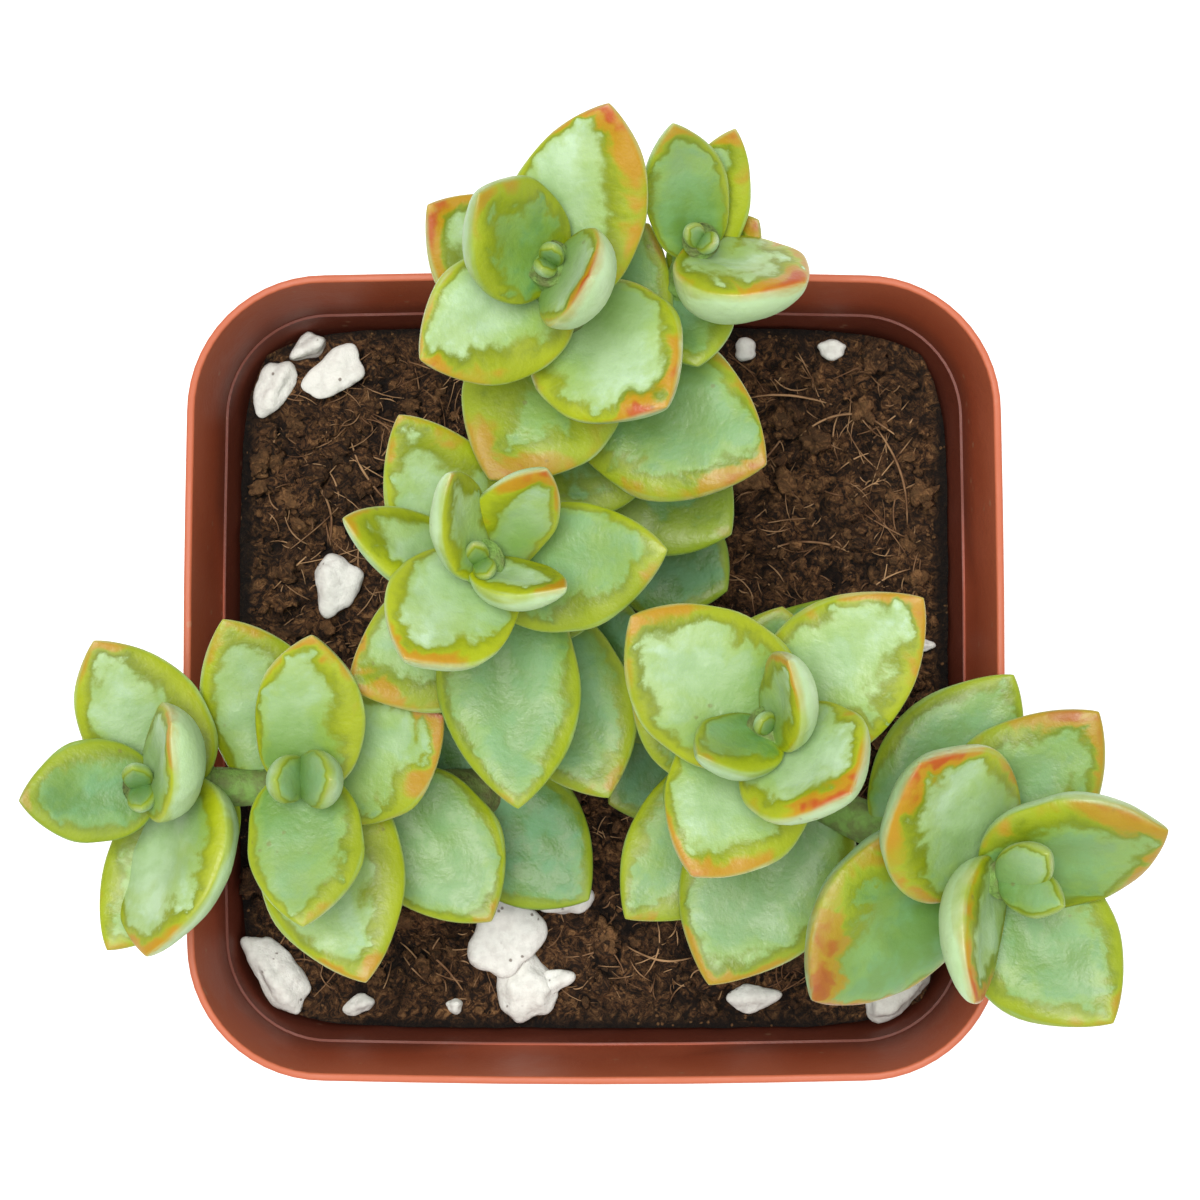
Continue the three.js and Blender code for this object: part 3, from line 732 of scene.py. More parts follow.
def stem_material(groups):
    material, graph, shader = new_material("succulent_stem")
    grain = use_group(graph, groups["grain"], Place=graph.place(), Scale=900.0)
    skin = graph.mix(graph.attribute("bark"), STEM_YOUNG, STEM_BARK)
    skin = graph.tint(0.55, grain["Patches"], skin, STEM_SCAR)
    graph.feed(skin, shader.inputs["Base Color"])
    set_plain(shader, Roughness=0.7)
    bump(graph, shader, grain["Height"], distance=0.3, strength=0.8)
    return material


SOIL_GAP_SHADE = rgb(20, 12, 8)
SOIL_DARK = rgb(40, 26, 16)
SOIL_BROWN = rgb(108, 73, 44)
SOIL_TAN = rgb(182, 134, 86)


# Where a matted thread's ridge goes from dark to brown and from brown to tan
THREAD_BROWN = (0.42, 0.54)
THREAD_TAN = (0.53, 0.64)
THREAD_RELIEF = 1.2


def soil_material(groups):
    material, graph, shader = new_material("peat_soil")
    place = graph.place()
    clods = use_group(graph, groups["grain"], Place=place, Scale=300.0)
    crumbs = use_group(graph, groups["grain"], Place=place, Scale=2600.0)
    flecks = use_group(
        graph, groups["specks"], Place=place, Scale=1900.0, Size=0.3, Share=0.58,
    )
    # Matted threads: a strongly bent noise has long curled ridges
    threads = graph.noise(place, 820.0, detail=6.0, roughness=0.74, distortion=2.2)
    tone = graph.mix(graph.span(threads, *THREAD_BROWN), SOIL_DARK, SOIL_BROWN)
    tone = graph.tint(0.8, graph.span(threads, *THREAD_TAN), tone, SOIL_TAN)
    tone = graph.tint(0.45, graph.attribute("pale"), tone, SOIL_TAN)
    tone = graph.tint(0.42, clods["Patches"], tone, SOIL_DARK)
    # Painted shade: near black in the gaps between clods, next to the wall and on the hidden sides
    tone = graph.tint(0.92, graph.attribute("gap_shade"), tone, SOIL_GAP_SHADE)
    tone = graph.tint(0.55, flecks["Mask"], tone, SOIL_TAN)
    graph.feed(tone, shader.inputs["Base Color"])
    set_plain(shader, Roughness=0.92, Specular_IOR_Level=0.3)
    relief = graph.plus(crumbs["Height"], graph.times(threads, THREAD_RELIEF))
    bump(graph, shader, relief, distance=0.6)
    return material


FIBRE_STRAW = rgb(176, 138, 98)
FIBRE_DARK = rgb(108, 74, 46)


def fibre_material(groups):
    material, graph, shader = new_material("peat_fibre")
    grain = use_group(graph, groups["grain"], Place=graph.place(), Scale=300.0)
    straw = graph.mix(grain["Patches"], FIBRE_DARK, FIBRE_STRAW)
    graph.feed(straw, shader.inputs["Base Color"])
    set_plain(shader, Roughness=0.85)
    return material


PERLITE_WHITE = rgb(224, 224, 217)
PERLITE_GREY = rgb(196, 194, 187)
PERLITE_SPECK = rgb(84, 66, 50)


def perlite_material(groups):
    material, graph, shader = new_material("perlite")
    place = graph.place()
    grain = use_group(graph, groups["grain"], Place=place, Scale=1500.0)
    specks = use_group(
        graph, groups["specks"], Place=place, Scale=1500.0, Size=0.24, Share=0.58,
    )
    tone = graph.tint(0.5, grain["Patches"], PERLITE_WHITE, PERLITE_GREY)
    tone = graph.tint(0.75, specks["Mask"], tone, PERLITE_SPECK)
    graph.feed(tone, shader.inputs["Base Color"])
    set_plain(shader, Roughness=0.9)
    bump(graph, shader, grain["Height"], distance=0.18, strength=0.7)
    return material


POT_BRICK = rgb(168, 78, 50)
POT_SALMON = rgb(184, 98, 68)
POT_DUST = rgb(176, 140, 112)
POT_STAIN_AND_SHADE = rgb(86, 40, 30)


def pot_material(groups):
    material, graph, shader = new_material("terracotta_plastic")
    place = graph.place()
    grain = use_group(graph, groups["grain"], Place=place, Scale=150.0)
    fine = use_group(graph, groups["grain"], Place=place, Scale=2600.0)
    dust = use_group(
        graph, groups["specks"], Place=place, Scale=700.0, Size=0.2, Share=0.58,
    )
    tone = graph.tint(0.3, grain["Patches"], POT_BRICK, POT_SALMON)
    # Painted highlight: the top of the lip is lighter salmon, as where the light falls on it
    tone = graph.mix(graph.attribute("lip"), tone, POT_SALMON)
    # Partly soil stain and partly painted shade, darker down the inner wall towards the soil
    tone = graph.tint(0.8, graph.attribute("inside"), tone, POT_STAIN_AND_SHADE)
    tone = graph.tint(0.35, dust["Mask"], tone, POT_DUST)
    graph.feed(tone, shader.inputs["Base Color"])
    graph.feed(graph.span(grain["Patches"], 0.0, 1.0, 0.46, 0.6), shader.inputs["Roughness"])
    set_plain(shader, Specular_IOR_Level=0.32)
    bump(graph, shader, fine["Height"], distance=0.06, strength=0.5)
    return material


# Leaves

def leaf_outline(share):
    """Half of the leaf's width at a share of its length, as in the solids."""
    if share < WIDEST:
        return math.sqrt(max(0.0, 1 - ((WIDEST - share) / WIDEST) ** HEEL_FULLNESS))
    return max(0.0, 1 - ((share - WIDEST) / (1 - WIDEST)) ** TIP_FULLNESS) ** TIP_SHARPNESS


# A leaf's section: how square it is across, and how flat above and below
SECTION_BREADTH = 0.92
FLAT_ABOVE = 2.8
FLAT_BELOW = 2.2
SECTION_ROUND = 1.75


def leaf_section(count):
    """Points round a leaf's section: across from -1 to 1, height from -1 to 1."""
    section = []
    for i in range(count):
        angle = 2 * math.pi * i / count
        across = math.copysign(abs(math.cos(angle)) ** SECTION_BREADTH, math.cos(angle))
        flat = FLAT_ABOVE if math.sin(angle) > 0 else FLAT_BELOW
        lift = (1 - abs(across) ** flat) ** (1 / SECTION_ROUND)
        section.append((across, math.copysign(lift, math.sin(angle))))
    return section


def leaf_thickness(length, width):
    """Rise over and depth under a leaf's middle plane, as shares of its width."""
    if width < BUD_WIDTH:
        return BUD_TOP, BUD_KEEL
    age = min(1.0, max(0.0, (length - YOUNG_LENGTH) / (OLD_LENGTH - YOUNG_LENGTH)))
    return BLADE_TOP, lerp(YOUNG_KEEL, BLADE_KEEL, age)


# Uneven margins: height and rate of each wave. The midrib drifts, as a share of the width.
MARGIN_WAVES = [(0.014, 9), (0.008, 19)]
RIB_DRIFT = 0.018
RIB_RATE = 5
# The shallow groove on the upper face: depth, half-width and how far short of the tip it ends
GROOVE_DEPTH = 0.045
GROOVE_WIDTH = 0.34
GROOVE_REACH = 1.1


def leaf_ring(share, length, width, phase, section):
    """Points round a leaf at a share of its length."""
    top, keel = leaf_thickness(length, width)
    spread = leaf_outline(share)
    waves = zip(MARGIN_WAVES, phase)
    wave = sum((high * math.sin(rate * share + start) for (high, rate), start in waves), 1)
    half = spread * width / 2 * wave
    up = top * width * spread ** TOP_ROUNDING
    down = keel * width * spread ** KEEL_ROUNDING * (KEEL_AT_ROOT - KEEL_TAPER * share)
    y = length * (1 + HEEL) * share - HEEL * length
    z = -BLADE_SAG * length * 4 * share * (1 - share)
    drift = RIB_DRIFT * width * math.sin(RIB_RATE * share + phase[2]) * spread
    deepest = math.sin(math.pi * min(1, share * GROOVE_REACH)) * (width >= BUD_WIDTH)
    ring = []
    for across, lift in section:
        height = (up if lift > 0 else down) * lift
        if lift > 0:
            height -= GROOVE_DEPTH * width * deepest * math.exp(-(across / GROOVE_WIDTH) ** 2)
        ring.append(Vector((half * across + drift, y, z + height)))
    return ring


# A face counts in full from one part in this many of the section's height
MARGIN_TURN = 4


def leaf_points(row, seed):
    """The leaf along +Y from its root, with each point's share of the length, side and half."""
    length, width = row[3], row[4]
    draw = random.Random(seed)
    phase = [draw.uniform(0, 2 * math.pi) for _ in range(3)]
    section = leaf_section(LEAF_SIDES)
    points, along = [], []
    for station in range(1, LEAF_STATIONS):
        share = 0.5 - 0.5 * math.cos(math.pi * station / LEAF_STATIONS)
        points += leaf_ring(share, length, width, phase, section)
        along += [share] * LEAF_SIDES
    points += [Vector((0, -HEEL * length, 0)), Vector((0, length, 0))]
    along += [0.0, 1.0]
    rings = LEAF_STATIONS - 1
    ends = [0.0, 0.0]
    side = [math.copysign(min(1.0, abs(lift) * MARGIN_TURN), lift) for _, lift in section]
    across = [place for place, _ in section]
    return points, along, side * rings + ends, across * rings + ends


OUTLINE_PLACES = 120


def margin_distance(points, length, width):
    """Distance in plan from each point to the leaf's outline, by the nearest of many places."""
    shares = np.linspace(0.0, 1.0, OUTLINE_PLACES)
    halves = np.array([leaf_outline(share) for share in shares]) * width / 2
    ys = length * (1 + HEEL) * shares - HEEL * length
    outline = np.concatenate([np.c_[halves, ys], np.c_[-halves, ys]])
    plan = np.array([(p.x, p.y) for p in points])
    gaps = np.linalg.norm(plan[:, None, :] - outline[None, :, :], axis=2)
    return gaps.min(axis=1)


def place_leaf(points, row, root):
    """The part's order of turns: about the leaf's own length, then up, then to its heading."""
    heading, rise, turn = row[1], row[2], row[5]
    pose = (
        Matrix.Rotation(math.radians(heading - 90), 4, "Z")
        @ Matrix.Rotation(math.radians(rise), 4, "X")
        @ Matrix.Rotation(-math.radians(turn), 4, "Y")
    )
    return [root + pose @ point for point in points]


# Low swellings on a leaf: height as a share of its width, rate per millimetre, and how far
# the noise is moved on from one leaf to the next
LEAF_SWELL = 0.018
LEAF_SWELL_RATE = 0.42
LEAF_SWELL_STEP = (3.1, 1.7, 0.9)


def add_uneven(points, seed, amount):
    """Low swellings over a leaf, so that no face is ruled."""
    offset = Vector([seed * step for step in LEAF_SWELL_STEP])
    for point in points:
        point.z += noise.noise(point * LEAF_SWELL_RATE + offset) * amount
    return points


def leaf(name, row, root, seed, material):
    points, along, side, across = leaf_points(row, seed)
    length, width = row[3], row[4]
    band, warmth, shade, lean = row[6:]
    edge = margin_distance(points, length, width) * np.array(side)
    placed = place_leaf(add_uneven(points, seed, LEAF_SWELL * width), row, root)
    rings = LEAF_STATIONS - 1
    faces = loft_faces(rings, LEAF_SIDES)
    faces += cap_faces(len(placed) - 2, 0, LEAF_SIDES, False)
    faces += cap_faces(len(placed) - 1, (rings - 1) * LEAF_SIDES, LEAF_SIDES, True)
    faces = [tuple(reversed(corner)) for corner in faces]
    piece = mesh_piece(name, placed, faces, material)
    leaning = 1 + lean * np.sign(across) * np.minimum(1, np.abs(across) * 2)
    set_attribute(piece, "band", band * leaning)
    set_attribute(piece, "edge", edge)
    set_attribute(piece, "along", along)
    set_attribute(piece, "warmth", [warmth] * len(placed))
    # shade: deeper green, partly the leaf's age and partly painted shade
    set_attribute(piece, "shade", [shade] * len(placed))
    return piece


def set_attribute(piece, name, values):
    layer = piece.data.attributes.new(name, "FLOAT", "POINT")
    layer.data.foreach_set("value", np.asarray(values, dtype=np.float32))


# Stems

def curve_point(route, share):
    """A place on a cubic curve with four control points."""
    a, b, c, d = (Vector(point) for point in route)
    rest = 1 - share
    return (
        a * rest ** 3
        + b * 3 * rest ** 2 * share
        + c * 3 * rest * share ** 2
        + d * share ** 3
    )


def tube(centres, radii, sides):
    """Rings of points round a line of centres, without twist."""
    points = []
    across = Vector((1, 0, 0))
    for i, centre in enumerate(centres):
        before = centres[max(0, i - 1)]
        after = centres[min(len(centres) - 1, i + 1)]
        ahead = (after - before).normalized()
        across = (across - ahead * across.dot(ahead)).normalized()
        upward = ahead.cross(across)
        for side in range(sides):
            angle = 2 * math.pi * side / sides
            reach = across * math.cos(angle) + upward * math.sin(angle)
            points.append(centre + reach * radii[i])
    faces = loft_faces(len(centres), sides) + end_faces(sides, len(points))
    return points, faces


# Rings along the root and the stem, the swelling where a pair of leaves stands, the uneven
# girth between them, and what is left of the girth at the tip
ROOT_STEPS = 6
STEM_STEPS = 70
STEM_SIDES = 20
NODE_LENGTH = 0.014
NODE_SWELL = 0.16
CROOK = 0.05
CROOK_RATE = 23
TIP_GIRTH = 0.82


def stem_girth(share, places, seed):
    """The stem's radius at a share of its length, as a share of its full radius."""
    swell = max(math.exp(-((share - place) / NODE_LENGTH) ** 2) for place in places)
    crook = CROOK * math.sin(CROOK_RATE * share + seed)
    return (1 + NODE_SWELL * swell + crook) * lerp(1.0, TIP_GIRTH, share ** 4)


def stem(name, shape, seed, material):
    places = [leaf_row[0] for leaf_row in shape["leaves"]]
    centres, radii = [], []
    if shape.get("rooted"):
        foot = Vector(shape["route"][0])
        for step in range(ROOT_STEPS):
            centres.append(foot - Vector((0, 0, FOOT_DEPTH * (1 - step / ROOT_STEPS))))
            radii.append(shape["radius"])
    for step in range(STEM_STEPS + 1):
        share = step / STEM_STEPS
        centres.append(curve_point(shape["route"], share))
        radii.append(shape["radius"] * stem_girth(share, places, seed))
    points, faces = tube(centres, radii, STEM_SIDES)
    piece = mesh_piece(name, points, faces, material)
    heights = np.array([centre.z for centre in centres])
    bark = np.clip((BARK_TOP - heights) / BARK_FADE, 0, 1)
    set_attribute(piece, "bark", np.repeat(bark, STEM_SIDES))
    return piece


def leafy_stems(leaf_look, stem_look):
    seed = 0
    for node, stems in PLANT.items():
        pieces = []
        for index, shape in enumerate(stems, 1):
            label = node.replace("stem_", "")
            seed += 1
            pieces.append(stem(f"branch_{label}_{index}", shape, seed, stem_look))
            for number, row in enumerate(shape["leaves"], 1):
                seed += 1
                root = curve_point(shape["route"], row[0])
                name = f"leaf_{label}_{index}_{number:02d}"
                pieces.append(leaf(name, row, root, seed, leaf_look))
        for piece in pieces:
            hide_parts(node)


# Pot

def corner_radius(inset):
    """Radius of the plan's corners at an inset from the rim's outer edge."""
    return max(RIM_CORNER - inset * CORNER_TIGHTENING, LEAST_CORNER)


def pot_corner(centre, corner, quarter, steps):
    """A quarter turn of the pot's plan round a corner's centre."""
    arc = []
    for step in range(steps + 1):
        angle = math.radians(90 * quarter) + math.radians(90) * step / steps
        x = centre[0] + corner * math.cos(angle)
        y = centre[1] + corner * math.sin(angle)
        arc.append((x, y))
    return arc


def pot_ring(inset, z, corner_steps=14, side_steps=6):
    """Plan of the pot at one level: a rounded rectangle whose sides bow out a little."""
    half_x = RIM_WIDTH / 2 - inset
    half_y = RIM_DEPTH / 2 - inset
    corner = corner_radius(inset)
    ring = []
    for quarter in range(4):
        sign_x = 1 if quarter in (0, 3) else -1
        sign_y = 1 if quarter in (0, 1) else -1
        centre = (sign_x * (half_x - corner), sign_y * (half_y - corner))
        ring += pot_corner(centre, corner, quarter, corner_steps)
        # The side after this corner, bowed outwards in its middle
        next_x = half_x if quarter == 3 else -half_x
        for step in range(1, side_steps):
            share = step / side_steps
            bow = SIDE_BOW * math.sin(math.pi * share)
            if quarter in (0, 2):
                x = lerp(sign_x, -sign_x, share) * (half_x - corner)
                ring.append((x, sign_y * (half_y + bow)))
            else:
                y = lerp(sign_y, -sign_y, share) * (half_y - corner)
                ring.append((next_x + math.copysign(bow, next_x), y))
    return [Vector((x, y, z)) for x, y in ring]


def inner_inset(z):
    """How far the inner wall stands in from the rim's outer edge at a height."""
    below = POT_HEIGHT - z
    collar = LIP_WIDTH + COLLAR_SLOPE * min(below, LEDGE_BELOW_RIM)
    if below <= LEDGE_BELOW_RIM:
        return collar
    return collar + LEDGE + WALL_SLOPE * (below - LEDGE_BELOW_RIM)


# Small roundings of the pot's section, and the levels between them
FOOT_FLAT = 0.4
CHAMFER_KNEE = (0.4, 0.25)
OUTER_LEVELS = (0.25, 0.5, 0.75, 0.98)
COLLAR_EDGE = 0.1
COLLAR_UNDERCUT = 0.02
LIP_DEGREES = (0, 30, 60, 90)
STAIN_AND_SHADE_LEVEL = 3.0
LEDGE_FALL = (0.04, 0.14)
INNER_LEVEL = 25.0
FLOOR_FILLET = 1.0


def lip_curve(edge, way, degrees):
    """Part of the lip's rounding: way is 1 at its outer edge and -1 at its inner one."""
    curve = []
    for degree in degrees:
        angle = math.radians(degree)
        inset = edge + way * LIP_ROUND * (1 - math.cos(angle))
        curve.append((inset, POT_HEIGHT - LIP_ROUND * (1 - math.sin(angle))))
    return curve


def outer_profile():
    """The wall's outer section, from the underside up to the lip, as (inset, height)."""
    shoulder = POT_HEIGHT - COLLAR_HEIGHT - WALL_SLOPE
    collar_foot = inner_inset(POT_HEIGHT - LEDGE_BELOW_RIM) - WALL

    def outside(z):
        return inner_inset(min(z, shoulder)) - WALL

    foot = outside(0) + BASE_CHAMFER
    profile = [
        (foot + FOOT_FLAT, 0),
        (foot, 0),
        (outside(0) + BASE_CHAMFER * CHAMFER_KNEE[0], BASE_CHAMFER * CHAMFER_KNEE[1]),
        (outside(BASE_CHAMFER), BASE_CHAMFER),
    ]
    levels = [lerp(BASE_CHAMFER, shoulder, share) for share in OUTER_LEVELS]
    profile += [(outside(z), z) for z in levels + [shoulder]]
    collar_z = POT_HEIGHT - COLLAR_HEIGHT
    return profile + [
        (collar_foot + COLLAR_EDGE, collar_z - COLLAR_UNDERCUT),
        (collar_foot, collar_z + COLLAR_EDGE),
        (collar_foot * 0.5, POT_HEIGHT - COLLAR_HEIGHT / 2),
    ]


def pot_profile():
    """The wall's section from the middle of the underside round to the inner floor."""
    ledge_z = POT_HEIGHT - LEDGE_BELOW_RIM
    profile = outer_profile()
    profile += lip_curve(0, 1, LIP_DEGREES)
    profile += lip_curve(inner_inset(POT_HEIGHT), -1, reversed(LIP_DEGREES))
    return profile + [
        # A ring above the ledge, over which the stain and painted shade on the wall ramp up
        (inner_inset(ledge_z + STAIN_AND_SHADE_LEVEL), ledge_z + STAIN_AND_SHADE_LEVEL),
        (inner_inset(ledge_z), ledge_z),
        (inner_inset(ledge_z) + LEDGE * 0.9, ledge_z - LEDGE_FALL[0]),
        (inner_inset(ledge_z) + LEDGE, ledge_z - LEDGE_FALL[1]),
        (inner_inset(INNER_LEVEL), INNER_LEVEL),
        (inner_inset(FLOOR + FLOOR_FILLET), FLOOR + FLOOR_FILLET),
        (inner_inset(FLOOR) + FLOOR_FILLET, FLOOR),
    ]


DRAIN_SIDES = 40


def drain_cutters():
    """Four plain plugs that cut the drain holes."""
    radius = DRAIN_DIAMETER / 2
    points, faces = [], []
    for hole in range(4):
        angle = math.radians(45 + 90 * hole)
        x, y = DRAIN_OFFSET * math.cos(angle), DRAIN_OFFSET * math.sin(angle)
        start = len(points)
        for z in (-2 * FLOOR, 2 * FLOOR):
            for side in range(DRAIN_SIDES):
                turn = 2 * math.pi * side / DRAIN_SIDES
                points.append((x + radius * math.cos(turn), y + radius * math.sin(turn), z))
        faces += loft_faces(2, DRAIN_SIDES, start)
        faces += end_faces(DRAIN_SIDES, len(points), start)
    return add_object("drain_cutters", new_mesh("drain_cutters", points, faces))


def apply_modifiers(piece):
    """Turns what the modifiers make into the piece's own mesh."""
    seen = piece.evaluated_get(bpy.context.evaluated_depsgraph_get())
    result = bpy.data.meshes.new_from_object(seen)
    piece.modifiers.clear()
    piece.data = result


def rim_inset(x, y):
    """How far in from the rim's outer edge a place in plan lies."""
    inset = min(RIM_WIDTH / 2 - abs(x), RIM_DEPTH / 2 - abs(y))
    corner_x = abs(x) - (RIM_WIDTH / 2 - RIM_CORNER)
    corner_y = abs(y) - (RIM_DEPTH / 2 - RIM_CORNER)
    if corner_x > 0 and corner_y > 0:
        inset = min(inset, RIM_CORNER - math.hypot(corner_x, corner_y))
    return inset


def in_wall(x, y, z):
    """How dark the inside is, partly soil stain and partly painted shade: 1 low on the inner wall,
    fading out up to the lip, and 0 elsewhere.
    """
    if z <= FLOOR or rim_inset(x, y) <= inner_inset(z) - WALL / 2:
        return 0.0
    down = max(0.0, POT_HEIGHT - z)
    if 0 < down - LEDGE_BELOW_RIM < LEDGE:
        return 1.0
    collar = STAIN_AND_SHADE_ON_COLLAR * min(1.0, down / LEDGE_BELOW_RIM) ** 2
    below = (1 - STAIN_AND_SHADE_ON_COLLAR) * max(0.0, (down - LEDGE_BELOW_RIM + STAIN_AND_SHADE_RISE) / STAIN_AND_SHADE_DEPTH)
    return min(1.0, collar + below)


# How far down from the top the painted highlight on the lip reaches, and the least angle of a sharp
# edge
LIP_HIGHLIGHT_REACH = 0.5
SHARP_DEGREES = 38


def pot(material):
    rings = [pot_ring(inset, z) for inset, z in pot_profile()]
    count = len(rings[0])
    points = [point for ring in rings for point in ring]
    faces = loft_faces(len(rings), count) + end_faces(count, len(points))
    piece = mesh_piece("nursery_pot", points, faces, material)
    cutter = drain_cutters()
    cut = piece.modifiers.new("drains", "BOOLEAN")
    cut.operation = "DIFFERENCE"
    cut.solver = "EXACT"
    cut.object = cutter
    apply_modifiers(piece)
    bpy.data.objects.remove(cutter)
    places = [vertex.co / MM for vertex in piece.data.vertices]
    heights = np.array([place.z for place in places])
    # Painted highlight on the top of the lip
    set_attribute(piece, "lip", np.clip((heights - POT_HEIGHT) / LIP_HIGHLIGHT_REACH + 1, 0, 1))
    # Partly soil stain and partly painted shade on the inner wall
    set_attribute(piece, "inside", [in_wall(*place) for place in places])
    piece.data.set_sharp_from_angle(angle=math.radians(SHARP_DEGREES))
    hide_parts("pot")


# Soil

# Waves of the soil, as in the solids: rates along x and y, start and share
SOIL_WAVES = [(1.1, 0.6, 0, 1), (0.7, -1.3, 1, 1), (1.9, 1.7, 2, 0.6)]


def soil_height(x, y):
    """Height of the soil without its clods, as in the solids."""
    reach = min(1.0, math.hypot(x / RIM_WIDTH, y / RIM_DEPTH) * 2)
    waves = sum(math.sin(a * x + b * y + start) * share for a, b, start, share in SOIL_WAVES)
    return SOIL_TOP + SOIL_DOME * (1 - reach * reach) + SOIL_BUMP * waves * 0.5


# Relief of the peat. Each noise has a rate per millimetre and a layer of its own.
BENT_NOISE = (0.5, 9.0)
BROAD_NOISE = (0.22, 3.0)
FINE_NOISE = (3.2, 5.0)
MATTED_NOISE = (6.0, 2.0)
CLOD_LAYER = 7.0
CRUMB_LAYER = 11.0
BROAD_SHARE = 0.4
CLOD_SHARE = 0.85
CLOD_LEVEL = 0.5
CRUMB_SHARE = 0.3
CRUMB_LEVEL = 0.4
FINE_SHARE = 0.2
MATTED_SHARE = 0.1


def swell(x, y, rate, layer):
    """Smooth noise over the soil's plan, from about -1 to 1."""
    return noise.noise(Vector((x * rate, y * rate, layer)))


def clods(x, y):
    """Lumpy relief of damp peat, from broad clods to crumbs, low where perlite lies."""
    bent = swell(x, y, *BENT_NOISE)
    lumps = lump(x + bent, y - bent, CLOD_SPACING, CLOD_LAYER)
    crumbs = lump(x + bent * 0.5, y, CRUMB_SPACING, CRUMB_LAYER)
    relief = BROAD_SHARE * swell(x, y, *BROAD_NOISE)
    relief += CLOD_SHARE * (lumps - CLOD_LEVEL)
    relief += CRUMB_SHARE * (crumbs - CRUMB_LEVEL)
    relief += FINE_SHARE * swell(x, y, *FINE_NOISE)
    relief += MATTED_SHARE * swell(x, y, *MATTED_NOISE)
    height = CLOD_HEIGHT * relief
    return height if height < 0 else height * (1 - perlite_near(x, y))


# How steeply a lump rises from the gap beside it, and the clear ring round a perlite lump
LUMP_STEEPNESS = 1.6
PERLITE_CLEARANCE = 0.6


def lump(x, y, spacing, layer):
    """Rounded lumps with narrow gaps between them, from 0 in a gap to 1 on top."""
    nearest = noise.voronoi(Vector((x / spacing, y / spacing, layer)))[0]
    gap = min(1.0, (nearest[1] - nearest[0]) * LUMP_STEEPNESS)
    return math.sqrt(gap)


def perlite_near(x, y):
    """1 on a perlite lump and 0 away from it, where the peat would hide it."""
    near = 0.0
    for lobes in PERLITE.values():
        for lobe in lobes:
            reach = lobe[3] / 2 + 2 * PERLITE_CLEARANCE
            away = math.hypot(x - lobe[0], y - lobe[1])
            near = max(near, min(1.0, (reach - away) / PERLITE_CLEARANCE))
    return near


def soil_top_height(x, y):
    return soil_height(x, y) + clods(x, y)


# The level below which the soil counts as hidden, measured down from its top
HIDDEN_BELOW = 1.9


def painted_gap_shade(x, y, z):
    """Painted shade on the soil: 1 deep in a gap between clods, next to the wall and below the
    surface, 0 on top of a clod.
    """
    if z < SOIL_TOP - HIDDEN_BELOW:
        return 1.0
    # Painted shade where the clods sink and where the soil meets the wall
    sunk = (GAP_LEVEL - clods(x, y)) / GAP_FADE
    near_wall = (max(abs(x), abs(y)) - SHADED_WALL_EDGE) / GAP_FADE
    return max(0.0, min(1.0, max(sunk, near_wall)))


# How squarely the soil's plan fills the pot's corners
PLAN_SQUARENESS = 7


def wall_place(a, b, inset):
    """A place on the soil's plan: a and b run from -1 to 1, with the corners rounded off."""
    half_x = RIM_WIDTH / 2 - inset
    half_y = RIM_DEPTH / 2 - inset
    cut = 1 - corner_radius(inset) * (1 - math.sqrt(0.5)) / half_x
    pull = 1 - cut * cut
    x = a * math.sqrt(1 - pull * abs(b) ** PLAN_SQUARENESS)
    y = b * math.sqrt(1 - pull * abs(a) ** PLAN_SQUARENESS)
    return x * half_x, y * half_y


# At the wall the clods have a share of their height. They have all of it from one part in
# CALM_RATE of the way in.
CALM_CLODS = 0.35
CALM_RATE = 12


def soil_surface(inset):
    """A square grid of places on top of the soil, row by row."""
    points = []
    for row in range(SOIL_GRID + 1):
        for column in range(SOIL_GRID + 1):
            a = 2 * column / SOIL_GRID - 1
            b = 2 * row / SOIL_GRID - 1
            x, y = wall_place(a, b, inset)
            calm = min(1.0, (1 - max(abs(a), abs(b))) * CALM_RATE)
            height = clods(x, y) * (CALM_CLODS + (1 - CALM_CLODS) * calm)
            points.append((x, y, soil_height(x, y) + height))
    return points


def grid_edge(count):
    """The points round the edge of a square grid of that many points a side."""
    last = count - 1
    edge = list(range(last))
    edge += [row * count + last for row in range(last)]
    edge += [last * count + column for column in range(last, 0, -1)]
    edge += [row * count for row in range(last, 0, -1)]
    return edge


# Levels of the soil's sides, and how far each is tucked in
SIDE_LEVELS = [(SOIL_TOP - 2, 0.0), (SOIL_BOTTOM + 1, 0.0), (SOIL_BOTTOM, 1.0)]


def soil(material):
    """A closed body of soil: clods on top, sides down the wall, flat underneath."""
    inset = inner_inset(SOIL_TOP) + WALL_GAP
    count = SOIL_GRID + 1
    points = soil_surface(inset)
    faces = []
    for row in range(SOIL_GRID):
        for column in range(SOIL_GRID):
            start = row * count + column
            faces.append((start, start + 1, start + 1 + count, start + count))
    edge = grid_edge(count)
    above = edge
    for z, tuck in SIDE_LEVELS:
        shrink = (RIM_WIDTH / 2 - inner_inset(z) - WALL_GAP - tuck) / (RIM_WIDTH / 2 - inset)
        level = list(range(len(points), len(points) + len(edge)))
        points += [(points[i][0] * shrink, points[i][1] * shrink, z) for i in edge]
        for i in range(len(edge)):
            after = (i + 1) % len(edge)
            faces.append((above[after], above[i], level[i], level[after]))
        above = level
    faces.append(tuple(reversed(above)))
    piece = mesh_piece("peat_soil", points, faces, material)
    # Painted shade in the gaps between clods, next to the wall and on the hidden sides
    set_attribute(piece, "gap_shade", [painted_gap_shade(x, y, z) for x, y, z in points])
    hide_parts("soil")


def ball(steps):
    """Points and faces of a ball of triangles, one across."""
    shape = bmesh.new()
    bmesh.ops.create_icosphere(shape, subdivisions=steps, radius=0.5)
    points = [vertex.co.copy() for vertex in shape.verts]
    faces = [tuple(vertex.index for vertex in face.verts) for face in shape.faces]
    shape.free()
    return points, faces


